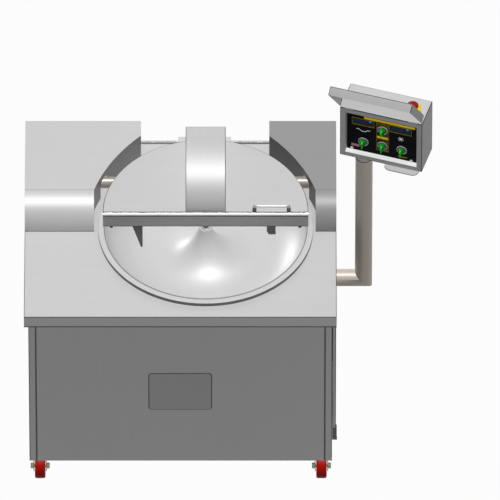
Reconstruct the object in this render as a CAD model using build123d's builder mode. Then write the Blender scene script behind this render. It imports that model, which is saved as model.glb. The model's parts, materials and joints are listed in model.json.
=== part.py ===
from build123d import *
from math import acos, asin, cos, hypot, radians, sin, sqrt
import os

os.makedirs("parts", exist_ok=True)

# Meat bowl cutter on casters, bowl of about 28 litres. Millimetres, +X right, +Y back, +Z up.
# The origin is on the floor below the middle of the whole machine's box.

# ---- Driving dimensions ----

# Worktop and cabinet
worktop_length = 1092
worktop_depth = 870
worktop_lip = 50
worktop_sheet = 3
cabinet_height = 670  # from the casters to the worktop's lip
side_inset = 15  # cabinet sides behind the worktop's ends
front_inset = 5  # cabinet front and back behind the worktop's edges
panel_sheet = 2
panel_gap = 1.5
corner_strip = 24  # return of a side panel on the front and on the back
panel_return = 5
vent_rows = 4
vent_pitch = 28
vent_length = 150
vent_height = 7
cover_plate_length = 218
cover_plate_height = 176
cover_plate_thickness = 2
cover_plate_corner = 10
cover_plate_middle = (545, 347)  # from the worktop's left end, above the cabinet's lower edge

# Inner frame
pan_sheet = 4
pan_flange = 40
post_leg = 40
post_sheet = 4
rail_side = 40
beam_spacing = 140  # between the middles of the two beams that carry the bowl

# Bowl
bowl_from_left = 634
bowl_from_front = 428
rim_radius = 377
rim_height = 15
rim_lift = 1.5  # gap between the rim and the worktop
trough_radius = 167  # radius of the trough's section
inner_runs = 8  # straight runs that make up the inside of the section
outer_runs = 5
bowl_wall = 5
hub_disc_height = 1
hub_nut_radius = 10
hub_nut_height = 8
bowl_boss_radius = 57
bowl_boss_bottom = 125  # below the worktop's top
bowl_hole_clearance = 10

# Knife shaft and knives
shaft_behind_bowl = 184
shaft_height = 55  # above the worktop
shaft_radius = 15
running_clearance = 0.05
sleeve_radius = 21
sleeve_wall = 4
sleeve_to_knives = 45  # from the bowl's axis to each sleeve's inner end
knife_clearance = 5  # between the knife tips and the trough
knife_thickness = 4
knife_pitch = 12  # along the shaft
knife_stages = 3
knife_root_radius = 34
knife_edge_bevel = 5
knife_tip_flat = 4
flange_thickness = 16
lock_nut_radius = 26
lock_nut_width = 12
bearing_width = 32
bearing_radius = 38
bearing_foot = 110
bearing_foot_height = 14
left_bearing_from_left = 120
right_bearing_from_right = 76

# Housings beside the bowl
housing_height = 103
housing_front = 423  # from the worktop's front edge
housing_sheet = 2
left_housing_length = 406
right_housing_length = 235
left_rim_gap = 14
right_rim_gap = 8
left_cut_offset = 228  # centre of the concave cut beyond the bowl's axis
right_cut_offset = 233
cut_forward = 91  # centre of the concave cut in front of the bowl's axis
sleeve_notch_gap = 3

# Lid, hood and what they carry
lid_radius = 360
lid_front = -11.5  # front face, from the bowl's axis
lid_underside = 32
lid_height = 93
lid_sheet = 2
lid_bend = 9.5
lid_edge_bend = 5
lid_corner_cut = 8
lid_notch_gap = 4.5
hood_width = 140
hood_radius = 176
hood_sheet = 2
hood_flat_end = 284  # from the bowl's axis
hood_foot = 352
hood_slot_margin = 6
hinge_behind_bowl = 378
hinge_height = 60
hinge_bar_radius = 6
knuckle_radius = 16
knuckle_widths = ((-1, 25), (1, 17))  # side of the hood, length along the bar
knuckle_gap = 1
knuckle_tongue = 28  # height of the web between the knuckle and the lid
handle_span = 120
handle_offset = 231  # middle of the handle, right of the bowl's axis
handle_height = 38
handle_bar = 5
handle_bend = 12
handle_bow = 16  # of the grip towards the operator
handle_behind_front = 15
buffer_offset = 330
buffer_side = 10
buffer_drop = 10
plough_left = 256
plough_right = 221
plough_drop = 104
scraper_left = 214
scraper_right = 245
scraper_drop = 42
blade_plate = 3
blade_plate_overlap = 34

# Knife drive
knife_pulley_from_left = 62
pulley_width = 40
knife_pulley_radius = 34
motor_pulley_radius = 68
belt_thickness = 5
belt_gap = 0.3
motor_shaft_height = 132
motor_radius = 115
motor_length = 300
motor_from_left = 150
motor_shaft_radius = 19
motor_shaft_reach = 40  # of the shaft inside the motor
belt_slot_margin = 14
belt_edge = 5  # of the pulley beside the belt

# Bowl drive
spindle_radius = 15
spindle_neck_radius = 8
spindle_flange_radius = 52
spindle_flange_thickness = 12
bowl_housing_gap = 3
bowl_housing_length = 120
bowl_housing_radius = 45
bowl_housing_flange = 150
bowl_housing_flange_thickness = 12
bowl_housing_above_beams = 70
bowl_pulley_radius = 104
bowl_motor_pulley_radius = 32
bowl_pulley_width = 20
bowl_belt_width = 10
bowl_drive_reach = 330
gearbox_length = 110
gearbox_height = 80
output_shaft_radius = 10
gear_motor_radius = 45
gear_motor_length = 160

# Side door, with its latch
door_thickness = 13
door_front = 25
door_length = 330
door_rise = 146
door_top_gap = 8
door_gap = 0.5
door_pin_radius = 2.5
door_knuckle_radius = 5.5
door_knuckle_height = 40
latch_drop = 65
latch_tip_gap = 1.5
latch_radius = 8
latch_thickness = 3

# Control arm
pipe_radius = 30.15
pipe_wall = 3
post_outboard = 95.6  # beyond the worktop's right end
arm_from_front = 428
arm_below_top = 233
post_top = 363  # above the worktop
arm_flange = 110
arm_flange_thickness = 8
neck_depth = 60

# Control box
box_turn = 17.5
box_length = 300
box_depth = 124
box_height = 232
box_bottom = 414  # above the worktop
box_sheet = 2
box_border = 20
box_recess = 20
post_from_box_left = 70
fascia_thickness = 3
fascia_overlap = 8
knob_columns = (80, 150, 220)  # from the box's left end
knob_rows = (142, 67)  # above the box's bottom
knob_radius = 14
knob_sides = 12
knob_gap = 0.3
knob_height = 14
knob_grip_width = 8
knob_grip_height = 12
knob_pointer = 22
knob_stem_radius = 3
stop_collar_radius = 29.5
stop_collar_height = 8
stop_button_radius = 20
stop_button_height = 14
stop_stem_radius = 8
stop_stem_reach = 14  # of the stem inside the box
stop_travel = 6
stop_from_right = 58.5
stop_from_front = 64
grip_length = 124
grip_from_left = 165
grip_reach = 24
grip_depth = 40
grip_sheet = 3
grip_corner = 22

# Cover of the control box
cover_open = 142.9
cover_height = 229
cover_depth = 32
cover_sheet = 1.5
cover_gap = 0.5
cover_pin_radius = 1.5
cover_knuckle_radius = 4
cover_knuckle_width = 20
cover_lug_width = 12
cover_lug_gap = 0.4
cover_hinge_inset = 40

# Casters
caster_height = 120
caster_from_end = 51.5
axle_from_front = 55
caster_trail = 28
wheel_radius = 45
wheel_width = 38
axle_radius = 6
axle_cap_radius = 11
axle_cap_width = 10
fork_sheet = 3
fork_gap = 1.5
fork_crown_radius = 24
fork_crown_top = 104
fork_lobe_radius = 20
caster_plate_side = 72
caster_plate_thickness = 4
caster_cup_radius = 26
caster_bolt_spacing = 56
bolt_head_radius = 6
bolt_head_height = 4

# ---- Stations worked out from them ----

turn_cos = cos(radians(box_turn))
turn_sin = sin(radians(box_turn))
box_right = box_length - post_from_box_left
overall_length = worktop_length + post_outboard + box_right * turn_cos + box_depth / 2 * turn_sin
left = -overall_length / 2
right = left + worktop_length
front = -worktop_depth / 2
back = worktop_depth / 2
middle = (left + right) / 2
top = caster_height + cabinet_height + worktop_lip
sheet_under = top - worktop_sheet
cabinet_left = left + side_inset
cabinet_right = right - side_inset
cabinet_front = front + front_inset
cabinet_back = back - front_inset
cabinet_length = cabinet_right - cabinet_left
cabinet_depth = cabinet_back - cabinet_front
panel_height = sheet_under - caster_height
bowl_x = left + bowl_from_left
bowl_y = front + bowl_from_front
shaft_y = bowl_y + shaft_behind_bowl
shaft_z = top + shaft_height
post_x = right + post_outboard
arm_y = front + arm_from_front

machine = Plane(origin=(bowl_x, bowl_y, top))  # bowl axis, level of the worktop


def section(x):
    """Upright plane across the machine: its x is +Y, its y is +Z, its normal +X, from the bowl's axis."""
    return Plane(origin=(bowl_x + x, bowl_y, top), x_dir=(0, 1, 0), z_dir=(1, 0, 0))


def elevation(y):
    """Upright plane along the machine: its x is +X, its y is +Z, its normal the front, -Y."""
    return Plane(origin=(bowl_x, bowl_y + y, top), x_dir=(1, 0, 0), z_dir=(0, -1, 0))


def shaft_plane(x):
    """Plane square to the knife shaft, with its origin on the shaft's axis."""
    return Plane(origin=(x, shaft_y, shaft_z), x_dir=(0, 1, 0), z_dir=(1, 0, 0))


def ring(plane, outer, inner):
    """Flat ring on a plane."""
    with BuildSketch(plane) as face:
        Circle(outer)
        Circle(inner, mode=Mode.SUBTRACT)
    return face.sketch


def belt_face(plane, near, near_radius, far, far_radius, thickness):
    """Face of a belt round two pulleys."""
    with BuildSketch(plane) as outer:
        with Locations(near):
            Circle(near_radius + thickness)
        with Locations(far):
            Circle(far_radius + thickness)
        make_hull()
    with BuildSketch(plane) as inner:
        with Locations(near):
            Circle(near_radius)
        with Locations(far):
            Circle(far_radius)
        make_hull()
    return outer.sketch - inner.sketch


def octagon(flat_radius):
    """Eight-sided outline with flats on its four sides, inside the current sketch."""
    RegularPolygon(flat_radius, 8, major_radius=False, rotation=22.5)


def trough_points(radius, first, last, runs):
    """Corners of the trough's section, turned from straight down about the knife shaft's axis."""
    turns = [first + (last - first) * i / runs for i in range(runs + 1)]
    return [(shaft_behind_bowl + radius * sin(a), shaft_height - radius * cos(a)) for a in turns]


def write(piece, name):
    """Label a finished piece and write its STEP file."""
    piece.part.label = name
    export_step(piece.part, f"parts/{name}.step")


# ---- Cabinet ----

pan_length = cabinet_length - 2 * panel_sheet
pan_depth = cabinet_depth - 2 * panel_sheet

with BuildPart() as base_pan:
    with BuildSketch(Plane.XY.offset(caster_height)):
        with Locations((middle, 0)):
            Rectangle(pan_length, pan_depth)
    extrude(amount=pan_flange)
    offset(amount=-pan_sheet, openings=base_pan.faces().sort_by(Axis.Z)[-1])
write(base_pan, "base_pan")

post_x_offset = pan_length / 2 - pan_sheet - post_leg / 2
post_y_offset = pan_depth / 2 - pan_sheet - post_leg / 2
post_bottom = caster_height + pan_sheet

with BuildPart() as corner_posts:
    for end in (-1, 1):
        for side in (-1, 1):
            with BuildSketch(Plane.XY.offset(post_bottom)):
                with Locations((middle + end * post_x_offset, side * post_y_offset)):
                    Rectangle(post_leg, post_leg)
                with Locations(
                    (
                        middle + end * (post_x_offset - post_sheet),
                        side * (post_y_offset - post_sheet),
                    )
                ):
                    Rectangle(post_leg, post_leg, mode=Mode.SUBTRACT)
    extrude(amount=sheet_under - post_bottom)
write(corner_posts, "corner_posts")

housing_top = top - bowl_boss_bottom - spindle_flange_thickness - bowl_housing_gap
beam_top = housing_top - bowl_housing_above_beams - bowl_housing_flange_thickness
beam_length = 2 * (post_x_offset + post_leg / 2)
rail_length = 2 * (post_y_offset - post_leg / 2)

with BuildPart() as support_beams:
    for side in (-1, 1):
        with Locations((middle, bowl_y + side * beam_spacing / 2, beam_top - rail_side / 2)):
            Box(beam_length, rail_side, rail_side)
        with Locations((middle + side * post_x_offset, 0, beam_top - rail_side * 1.5)):
            Box(rail_side, rail_length, rail_side)
write(support_beams, "support_beams")


def side_panel(x, inward):
    """Folded side panel with a return on the front and on the back."""
    with BuildPart() as panel:
        with BuildSketch(Plane.XY.offset(caster_height)):
            with Locations((x + inward * corner_strip / 2, 0)):
                Rectangle(corner_strip, cabinet_depth)
            with Locations((x + inward * (corner_strip / 2 + panel_sheet), 0)):
                Rectangle(corner_strip, cabinet_depth - 2 * panel_sheet, mode=Mode.SUBTRACT)
        extrude(amount=panel_height)
    return panel


left_side_panel = side_panel(cabinet_left, 1)
write(left_side_panel, "left_side_panel")
right_side_panel = side_panel(cabinet_right, -1)
write(right_side_panel, "right_side_panel")

flat_panel_length = cabinet_length - 2 * (corner_strip + panel_gap)


def flat_panel_profile(y, inward):
    """Plan of a front or back panel with its two returns."""
    with BuildSketch(Plane.XY.offset(caster_height)) as plan:
        with Locations((middle, y + inward * panel_return / 2)):
            Rectangle(flat_panel_length, panel_return)
        with Locations((middle, y + inward * (panel_return / 2 + panel_sheet))):
            Rectangle(flat_panel_length - 2 * panel_sheet, panel_return, mode=Mode.SUBTRACT)
    return plan.sketch


# The base pan's flange stands inside the panels, so their returns stop above it.
return_clear = pan_flange + panel_gap

with BuildPart() as front_panel:
    extrude(flat_panel_profile(cabinet_front, 1), amount=panel_height)
    with Locations((middle, cabinet_front + panel_sheet + panel_return / 2, caster_height + return_clear / 2)):
        Box(flat_panel_length, panel_return, return_clear, mode=Mode.SUBTRACT)
write(front_panel, "front_panel")

vent_x = cabinet_length / 4
vent_z = caster_height + cabinet_height / 3

with BuildPart() as rear_panel:
    extrude(flat_panel_profile(cabinet_back, -1), amount=panel_height)
    with Locations((middle, cabinet_back - panel_sheet - panel_return / 2, caster_height + return_clear / 2)):
        Box(flat_panel_length, panel_return, return_clear, mode=Mode.SUBTRACT)
    with Locations((middle, cabinet_back - panel_sheet / 2, vent_z)):
        with GridLocations(2 * vent_x, 1, 2, 1):
            for row in range(vent_rows):
                with Locations((0, 0, (row - (vent_rows - 1) / 2) * vent_pitch)):
                    Box(vent_length, 2 * panel_sheet, vent_height, mode=Mode.SUBTRACT)
write(rear_panel, "rear_panel")

cover_plate_plane = Plane(
    origin=(left + cover_plate_middle[0], cabinet_front, caster_height + cover_plate_middle[1]),
    x_dir=(1, 0, 0),
    z_dir=(0, -1, 0),
)

with BuildPart() as front_cover_plate:
    with BuildSketch(cover_plate_plane):
        RectangleRounded(cover_plate_length, cover_plate_height, cover_plate_corner)
    extrude(amount=cover_plate_thickness)
write(front_cover_plate, "front_cover_plate")

# ---- Worktop and housings ----

outer_trough = trough_radius + bowl_wall
rim_bottom = rim_lift
bowl_outer_at_rim = shaft_behind_bowl + sqrt(outer_trough**2 - (shaft_height - rim_bottom) ** 2)
bowl_hole_radius = bowl_outer_at_rim + bowl_hole_clearance
knife_pulley_x = left + knife_pulley_from_left
belt_slot_length = pulley_width + 2 * belt_slot_margin
belt_slot_depth = 2 * (motor_pulley_radius + belt_thickness)

with BuildPart() as worktop:
    with BuildSketch(Plane.XY.offset(top - worktop_lip)):
        with Locations((middle, 0)):
            Rectangle(worktop_length, worktop_depth)
    extrude(amount=worktop_lip)
    offset(amount=-worktop_sheet, openings=worktop.faces().sort_by(Axis.Z)[0])
    with BuildSketch(Plane.XY.offset(top)):
        with Locations((bowl_x, bowl_y)):
            Circle(bowl_hole_radius)
        with Locations((knife_pulley_x + pulley_width / 2, shaft_y)):
            Rectangle(belt_slot_length, belt_slot_depth)
    extrude(amount=-worktop_sheet, mode=Mode.SUBTRACT)
write(worktop, "worktop")


def housing_side_profile(x):
    """Side view of a housing: quarter-round front, flat top and upright back."""
    near = front + housing_front - bowl_y
    far = back - bowl_y
    with BuildSketch(section(x)) as profile:
        with BuildLine():
            Polyline(
                (near, 0), (far, 0), (far, housing_height), (near + housing_height, housing_height)
            )
            RadiusArc((near + housing_height, housing_height), (near, 0), -housing_height)
        make_face()
    return profile.sketch


def housing_plan(outer_x, inward, length, rim_gap, cut_offset):
    """Plan of a housing: a straight end beside the bowl and a concave wall behind it."""
    roll_end = bowl_x - inward * (rim_radius + rim_gap)
    arc_start = front + housing_front + housing_height
    roll_length = abs(roll_end - outer_x)
    cut_x = bowl_x + inward * cut_offset
    cut_y = bowl_y - cut_forward
    cut_radius = hypot(roll_end - cut_x, arc_start - cut_y)
    with BuildSketch(Plane.XY.offset(top)) as plan:
        with Locations((outer_x + inward * length / 2, (arc_start + back) / 2)):
            Rectangle(length, back - arc_start)
        with Locations((cut_x, cut_y)):
            Circle(cut_radius, mode=Mode.SUBTRACT)
        with Locations((outer_x + inward * roll_length / 2, arc_start - housing_height / 2)):
            Rectangle(roll_length, housing_height)
    return plan.sketch


def sleeve_notch(radius, gap):
    """Slot that is open at the bottom and lets the shaft sleeve through."""
    with BuildSketch(section(0)) as slot:
        with Locations((shaft_behind_bowl, shaft_height)):
            octagon(radius + gap)
        with Locations((shaft_behind_bowl, 0)):
            Rectangle(2 * (radius + gap), 2 * shaft_height)
    return slot.sketch


with BuildPart() as left_housing:
    extrude(housing_side_profile(left - bowl_x), amount=left_housing_length)
    extrude(
        housing_plan(left, 1, left_housing_length, left_rim_gap, left_cut_offset),
        amount=housing_height,
        mode=Mode.INTERSECT,
    )
    offset(amount=-housing_sheet, openings=left_housing.faces().sort_by(Axis.Z)[0])
    extrude(sleeve_notch(sleeve_radius, sleeve_notch_gap), amount=-bowl_from_left / 1.4, mode=Mode.SUBTRACT)
write(left_housing, "left_housing")

with BuildPart() as right_housing:
    extrude(housing_side_profile(right - bowl_x - right_housing_length), amount=right_housing_length)
    extrude(
        housing_plan(right, -1, right_housing_length, right_rim_gap, right_cut_offset),
        amount=housing_height,
        mode=Mode.INTERSECT,
    )
    offset(amount=-housing_sheet, openings=right_housing.faces().sort_by(Axis.Z)[0])
    extrude(
        sleeve_notch(sleeve_radius, sleeve_notch_gap),
        amount=worktop_length - bowl_from_left - right_bearing_from_right / 2,
        mode=Mode.SUBTRACT,
    )
write(right_housing, "right_housing")

# ---- Bowl ----

hub_top = rim_bottom + rim_height + hub_disc_height
rim_top = rim_bottom + rim_height
inner_first = acos((shaft_height - rim_top) / trough_radius)
inner_last = -acos((shaft_height - hub_top) / trough_radius)
outer_first = acos((shaft_height - rim_bottom) / outer_trough)
outer_last = -asin((shaft_behind_bowl - bowl_boss_radius) / outer_trough)
hub_radius = trough_points(trough_radius, inner_first, inner_last, 1)[-1][0]
neck_bottom = hub_top - 3 * spindle_neck_radius
bowl_axis = Axis((bowl_x, bowl_y, top), (0, 0, 1))
spindle_bore = spindle_radius + running_clearance
neck_bore = spindle_neck_radius + running_clearance

with BuildPart() as bowl:
    with BuildSketch(elevation(0)):
        Polygon(
            (rim_radius, rim_top),
            (rim_radius, rim_bottom),
            *trough_points(outer_trough, outer_first, outer_last, outer_runs),
            (bowl_boss_radius, -bowl_boss_bottom),
            (spindle_bore, -bowl_boss_bottom),
            (spindle_bore, neck_bottom),
            (neck_bore, neck_bottom),
            (neck_bore, hub_top),
            *trough_points(trough_radius, inner_last, inner_first, inner_runs),
            align=None,
        )
    revolve(axis=bowl_axis)
write(bowl, "bowl")

flange_top = -bowl_boss_bottom
flange_bottom = flange_top - spindle_flange_thickness
bowl_pulley_top = beam_top - top - rail_side - 10
spindle_bottom = bowl_pulley_top - bowl_pulley_width - 6
washer_height = 3

with BuildPart() as bowl_spindle:
    with BuildSketch(elevation(0)):
        Polygon(
            (0, hub_top + hub_nut_height - 1),
            (0, spindle_bottom),
            (spindle_radius, spindle_bottom),
            (spindle_radius, flange_bottom),
            (spindle_flange_radius, flange_bottom),
            (spindle_flange_radius, flange_top),
            (spindle_radius, flange_top),
            (spindle_radius, neck_bottom - running_clearance),
            (spindle_neck_radius, neck_bottom - running_clearance),
            (spindle_neck_radius, hub_top + hub_nut_height - 1),
            align=None,
        )
    revolve(axis=bowl_axis)
    with BuildSketch(machine.offset(hub_top)):
        Circle(hub_radius - 3)
        Circle(neck_bore, mode=Mode.SUBTRACT)
    extrude(amount=washer_height)
    with BuildSketch(machine.offset(hub_top + washer_height)):
        RegularPolygon(hub_nut_radius, 6)
        Circle(neck_bore, mode=Mode.SUBTRACT)
    extrude(amount=hub_nut_height)
write(bowl_spindle, "bowl_spindle")

with BuildPart(machine) as bowl_bearing_housing:
    with BuildSketch(machine.offset(housing_top - top)):
        octagon(bowl_housing_radius)
    extrude(amount=-bowl_housing_length)
    with BuildSketch(Plane(origin=(bowl_x, bowl_y, beam_top))):
        Rectangle(bowl_housing_flange, beam_spacing + rail_side)
    extrude(amount=bowl_housing_flange_thickness)
    with BuildSketch(machine.offset(housing_top - top)):
        Circle(spindle_bore)
    extrude(amount=-bowl_housing_length, mode=Mode.SUBTRACT)
write(bowl_bearing_housing, "bowl_bearing_housing")


pulley_top_z = top + bowl_pulley_top
bowl_pulley_plane = Plane(origin=(bowl_x, bowl_y, pulley_top_z))

with BuildPart() as bowl_pulley:
    extrude(ring(bowl_pulley_plane, bowl_pulley_radius, spindle_bore), amount=-bowl_pulley_width)
write(bowl_pulley, "bowl_pulley")

gearbox_x = bowl_x + bowl_drive_reach
gearbox_plane = Plane(origin=(gearbox_x, bowl_y, beam_top))
output_reach = gearbox_height / 3

with BuildPart() as bowl_motor_pulley:
    with BuildSketch(Plane(origin=(gearbox_x, bowl_y, pulley_top_z))):
        Circle(bowl_motor_pulley_radius)
    extrude(amount=-bowl_pulley_width)
    with BuildSketch(gearbox_plane.offset(output_reach)):
        Circle(output_shaft_radius)
    extrude(amount=pulley_top_z - beam_top - output_reach)
write(bowl_motor_pulley, "bowl_motor_pulley")

with BuildPart() as bowl_drive_belt:
    extrude(
        belt_face(
            bowl_pulley_plane.offset(-belt_edge),
            (0, 0),
            bowl_pulley_radius + belt_gap,
            (bowl_drive_reach, 0),
            bowl_motor_pulley_radius + belt_gap,
            belt_thickness,
        ),
        amount=-bowl_belt_width,
    )
write(bowl_drive_belt, "bowl_drive_belt")

gearbox_depth = beam_spacing + rail_side
gear_motor_z = beam_top + gearbox_height / 2

with BuildPart() as bowl_gearmotor:
    with BuildSketch(gearbox_plane):
        Rectangle(gearbox_length, gearbox_depth)
    extrude(amount=gearbox_height)
    with BuildSketch(
        Plane(origin=(gearbox_x, bowl_y + gearbox_depth / 2, gear_motor_z), x_dir=(1, 0, 0), z_dir=(0, 1, 0))
    ):
        Circle(gear_motor_radius)
    extrude(amount=gear_motor_length)
    with BuildSketch(gearbox_plane):
        Circle(output_shaft_radius + running_clearance)
    extrude(amount=output_reach + 1, mode=Mode.SUBTRACT)
write(bowl_gearmotor, "bowl_gearmotor")

# ---- Knife shaft, knives and their drive ----

shaft_start = knife_pulley_x - 8
left_bearing_x = left + left_bearing_from_left
right_bearing_x = right - right_bearing_from_right
shaft_end = right_bearing_x + bearing_width + 6
shaft_bore = shaft_radius + running_clearance
stack_length = knife_stages * knife_pitch
stack_start = bowl_x - stack_length / 2
knife_radius = trough_radius - knife_clearance

with BuildPart() as knife_shaft:
    with BuildSketch(shaft_plane(shaft_start)):
        Circle(shaft_radius)
    extrude(amount=shaft_end - shaft_start)
    with BuildSketch(shaft_plane(stack_start)):
        Circle(knife_root_radius)
    extrude(amount=-flange_thickness)
    with BuildSketch(shaft_plane(knife_pulley_x)):
        Circle(knife_pulley_radius)
    extrude(amount=pulley_width)
write(knife_shaft, "knife_shaft")

# A sickle blade: convex cutting edge with a bevel, hollow back, root fused with its clamping ring.
tip_side = knife_radius * 0.185
tip_out = sqrt(knife_radius**2 - tip_side**2)

with BuildPart() as blade:
    with BuildSketch() as outline:
        with BuildLine():
            ThreePointArc(
                (-knife_root_radius, 0),
                (-knife_root_radius * 1.12, knife_radius * 0.6),
                (tip_side, tip_out),
            )
            Polyline(
                (tip_side, tip_out),
                (tip_side + knife_tip_flat, tip_out - knife_tip_flat),
                (knife_root_radius * 0.62, knife_radius * 0.73),
                (knife_root_radius * 0.5, knife_radius * 0.48),
                (knife_root_radius * 0.66, knife_radius * 0.23),
                (knife_root_radius, 0),
                (-knife_root_radius, 0),
            )
        make_face()
        Circle(shaft_bore, mode=Mode.SUBTRACT)
    extrude(amount=knife_thickness)
    upper_face = blade.faces().sort_by(Axis.Z)[-1]
    cutting_edge = upper_face.edges().filter_by(GeomType.CIRCLE).sort_by(Axis.X)[0]
    chamfer(cutting_edge, length=knife_edge_bevel, length2=knife_thickness * 0.6, reference=upper_face)

with BuildPart() as blade_pair:
    add(blade.part)
    add(Rot(0, 0, 180) * blade.part)
    extrude(ring(Plane.XY, knife_root_radius, shaft_bore), amount=knife_pitch)

nut_plane = shaft_plane(stack_start + stack_length)
stages = [
    shaft_plane(stack_start + stage * knife_pitch) * Rot(0, 0, stage * 180 / knife_stages) * blade_pair.part
    for stage in range(knife_stages)
]

with BuildPart() as lock_nut:
    with BuildSketch(nut_plane):
        RegularPolygon(lock_nut_radius, 6)
        Circle(shaft_bore, mode=Mode.SUBTRACT)
    extrude(amount=lock_nut_width)


class KnifeHead:
    """Three pairs of blades and the nut that clamps them, as solids side by side."""

    part = Compound(children=[*stages, lock_nut.part])


write(KnifeHead, "knife_head")

with BuildPart() as shaft_bearings:
    for place in (left_bearing_x, right_bearing_x):
        with BuildSketch(shaft_plane(place)):
            octagon(bearing_radius)
            with Locations((0, -shaft_height / 2)):
                Rectangle(2 * bearing_radius, shaft_height)
            with Locations((0, -shaft_height + bearing_foot_height / 2)):
                Rectangle(bearing_foot, bearing_foot_height)
            Circle(shaft_bore, mode=Mode.SUBTRACT)
        extrude(amount=bearing_width)
write(shaft_bearings, "shaft_bearings")

left_sleeve_start = left_bearing_x + bearing_width
left_sleeve_end = bowl_x - sleeve_to_knives
right_sleeve_start = bowl_x + sleeve_to_knives

with BuildPart() as shaft_sleeves:
    bore = sleeve_radius - sleeve_wall
    extrude(
        ring(shaft_plane(left_sleeve_start), sleeve_radius, bore), amount=left_sleeve_end - left_sleeve_start
    )
    extrude(
        ring(shaft_plane(right_sleeve_start), sleeve_radius, bore),
        amount=right_bearing_x - right_sleeve_start,
    )
write(shaft_sleeves, "shaft_sleeves")

motor_z = caster_height + pan_sheet + motor_shaft_height
motor_x = left + motor_from_left
belt_drop = motor_z - shaft_z


def motor_plane(x):
    """Plane square to the main motor's shaft, with its origin on that shaft's axis."""
    return Plane(origin=(x, shaft_y, motor_z), x_dir=(0, 1, 0), z_dir=(1, 0, 0))


foot_width = 1.9 * motor_radius
foot_height = motor_shaft_height - 0.8 * motor_radius

with BuildPart() as main_motor:
    with BuildSketch(motor_plane(motor_x)):
        RegularPolygon(motor_radius, 16)
    extrude(amount=motor_length)
    with BuildSketch(motor_plane(motor_x + motor_length)):
        RegularPolygon(motor_radius * 0.9, 16)
    extrude(amount=70)
    for foot in (30, motor_length - 70):
        with BuildSketch(motor_plane(motor_x + foot)):
            with Locations((0, -motor_shaft_height + foot_height / 2)):
                Rectangle(foot_width, foot_height)
        extrude(amount=40)
    with Locations((motor_x + motor_length / 2, shaft_y, motor_z + motor_radius)):
        Box(100, 90, 60)
    with BuildSketch(motor_plane(motor_x)):
        Circle(motor_shaft_radius + running_clearance)
    extrude(amount=motor_shaft_reach + 1, mode=Mode.SUBTRACT)
write(main_motor, "main_motor")

with BuildPart() as motor_pulley:
    with BuildSketch(motor_plane(knife_pulley_x)):
        Circle(motor_pulley_radius)
    extrude(amount=pulley_width)
    with BuildSketch(motor_plane(knife_pulley_x)):
        Circle(motor_shaft_radius)
    extrude(amount=motor_x + motor_shaft_reach - knife_pulley_x)
write(motor_pulley, "motor_pulley")

belt_width = pulley_width - 2 * belt_edge
with BuildPart() as knife_drive_belt:
    extrude(
        belt_face(
            shaft_plane(knife_pulley_x + belt_edge),
            (0, 0),
            knife_pulley_radius + belt_gap,
            (0, belt_drop),
            motor_pulley_radius + belt_gap,
            belt_thickness,
        ),
        amount=belt_width,
    )
write(knife_drive_belt, "knife_drive_belt")

# ---- Lid ----

hood_half = hood_width / 2
hood_spring = shaft_behind_bowl - sqrt(hood_radius**2 - (lid_height - shaft_height) ** 2)

with BuildPart() as lid_shell:
    with BuildSketch(machine.offset(lid_underside)):
        Circle(lid_radius)
        with Locations((0, lid_front - lid_radius)):
            Rectangle(2 * lid_radius, 2 * lid_radius, mode=Mode.SUBTRACT)
    extrude(amount=lid_height - lid_underside)
    fillet(lid_shell.faces().sort_by(Axis.Y)[0].edges().sort_by(Axis.Z)[-1], radius=lid_bend)
    offset(amount=-lid_sheet, openings=lid_shell.faces().sort_by(Axis.Z)[0])
    with BuildSketch(machine.offset(lid_height)):
        slot_near = hood_spring + hood_sheet + hood_slot_margin
        slot_far = hood_foot - hood_sheet - hood_slot_margin
        with Locations((0, (slot_near + slot_far) / 2)):
            Rectangle(hood_width - 2 * (hood_sheet + hood_slot_margin), slot_far - slot_near)
    extrude(amount=-2 * lid_sheet, mode=Mode.SUBTRACT)
    with BuildSketch(section(-lid_radius)):
        with Locations((shaft_behind_bowl, shaft_height)):
            octagon(sleeve_radius + lid_notch_gap)
        with Locations((shaft_behind_bowl, shaft_height / 2)):
            Rectangle(2 * (sleeve_radius + lid_notch_gap), shaft_height)
    extrude(amount=2 * lid_radius, mode=Mode.SUBTRACT)
write(lid_shell, "lid_shell")

hood_top = shaft_height + hood_radius

with BuildPart() as knife_hood:
    with BuildSketch(section(-hood_half)):
        with BuildLine():
            ThreePointArc(
                (hood_spring, lid_height),
                (
                    shaft_behind_bowl - hood_radius * cos(radians(45)),
                    shaft_height + hood_radius * sin(radians(45)),
                ),
                (shaft_behind_bowl, hood_top),
            )
            Polyline(
                (shaft_behind_bowl, hood_top),
                (hood_flat_end, hood_top),
                (hood_foot, lid_height),
                (hood_spring, lid_height),
            )
        make_face()
    extrude(amount=hood_width)
    offset(amount=-hood_sheet, openings=knife_hood.faces().sort_by(Axis.Z)[0])
write(knife_hood, "knife_hood")

with BuildPart() as lid_knuckles:
    for side, width in knuckle_widths:
        start = side * (hood_half + knuckle_gap) - (width if side < 0 else 0)
        with BuildSketch(section(start)):
            with Locations((hinge_behind_bowl, hinge_height)):
                octagon(knuckle_radius)
            with Locations(((lid_radius + hinge_behind_bowl) / 2 - 12, hinge_height + knuckle_tongue / 2)):
                Rectangle(hinge_behind_bowl - lid_radius + 24, knuckle_tongue)
            with Locations((hinge_behind_bowl, hinge_height)):
                Circle(hinge_bar_radius + running_clearance, mode=Mode.SUBTRACT)
        extrude(amount=width)
    with BuildSketch(machine.offset(lid_underside)):
        Circle(lid_radius)
    extrude(amount=lid_height - lid_underside, mode=Mode.SUBTRACT)
write(lid_knuckles, "lid_knuckles")

bar_start = left + left_housing_length
bar_end = right - right_housing_length


def hinge_plane(x):
    """Plane square to the lid's hinge bar, with its origin on the bar's axis."""
    return Plane(
        origin=(x, bowl_y + hinge_behind_bowl, top + hinge_height), x_dir=(0, 1, 0), z_dir=(1, 0, 0)
    )


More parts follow.
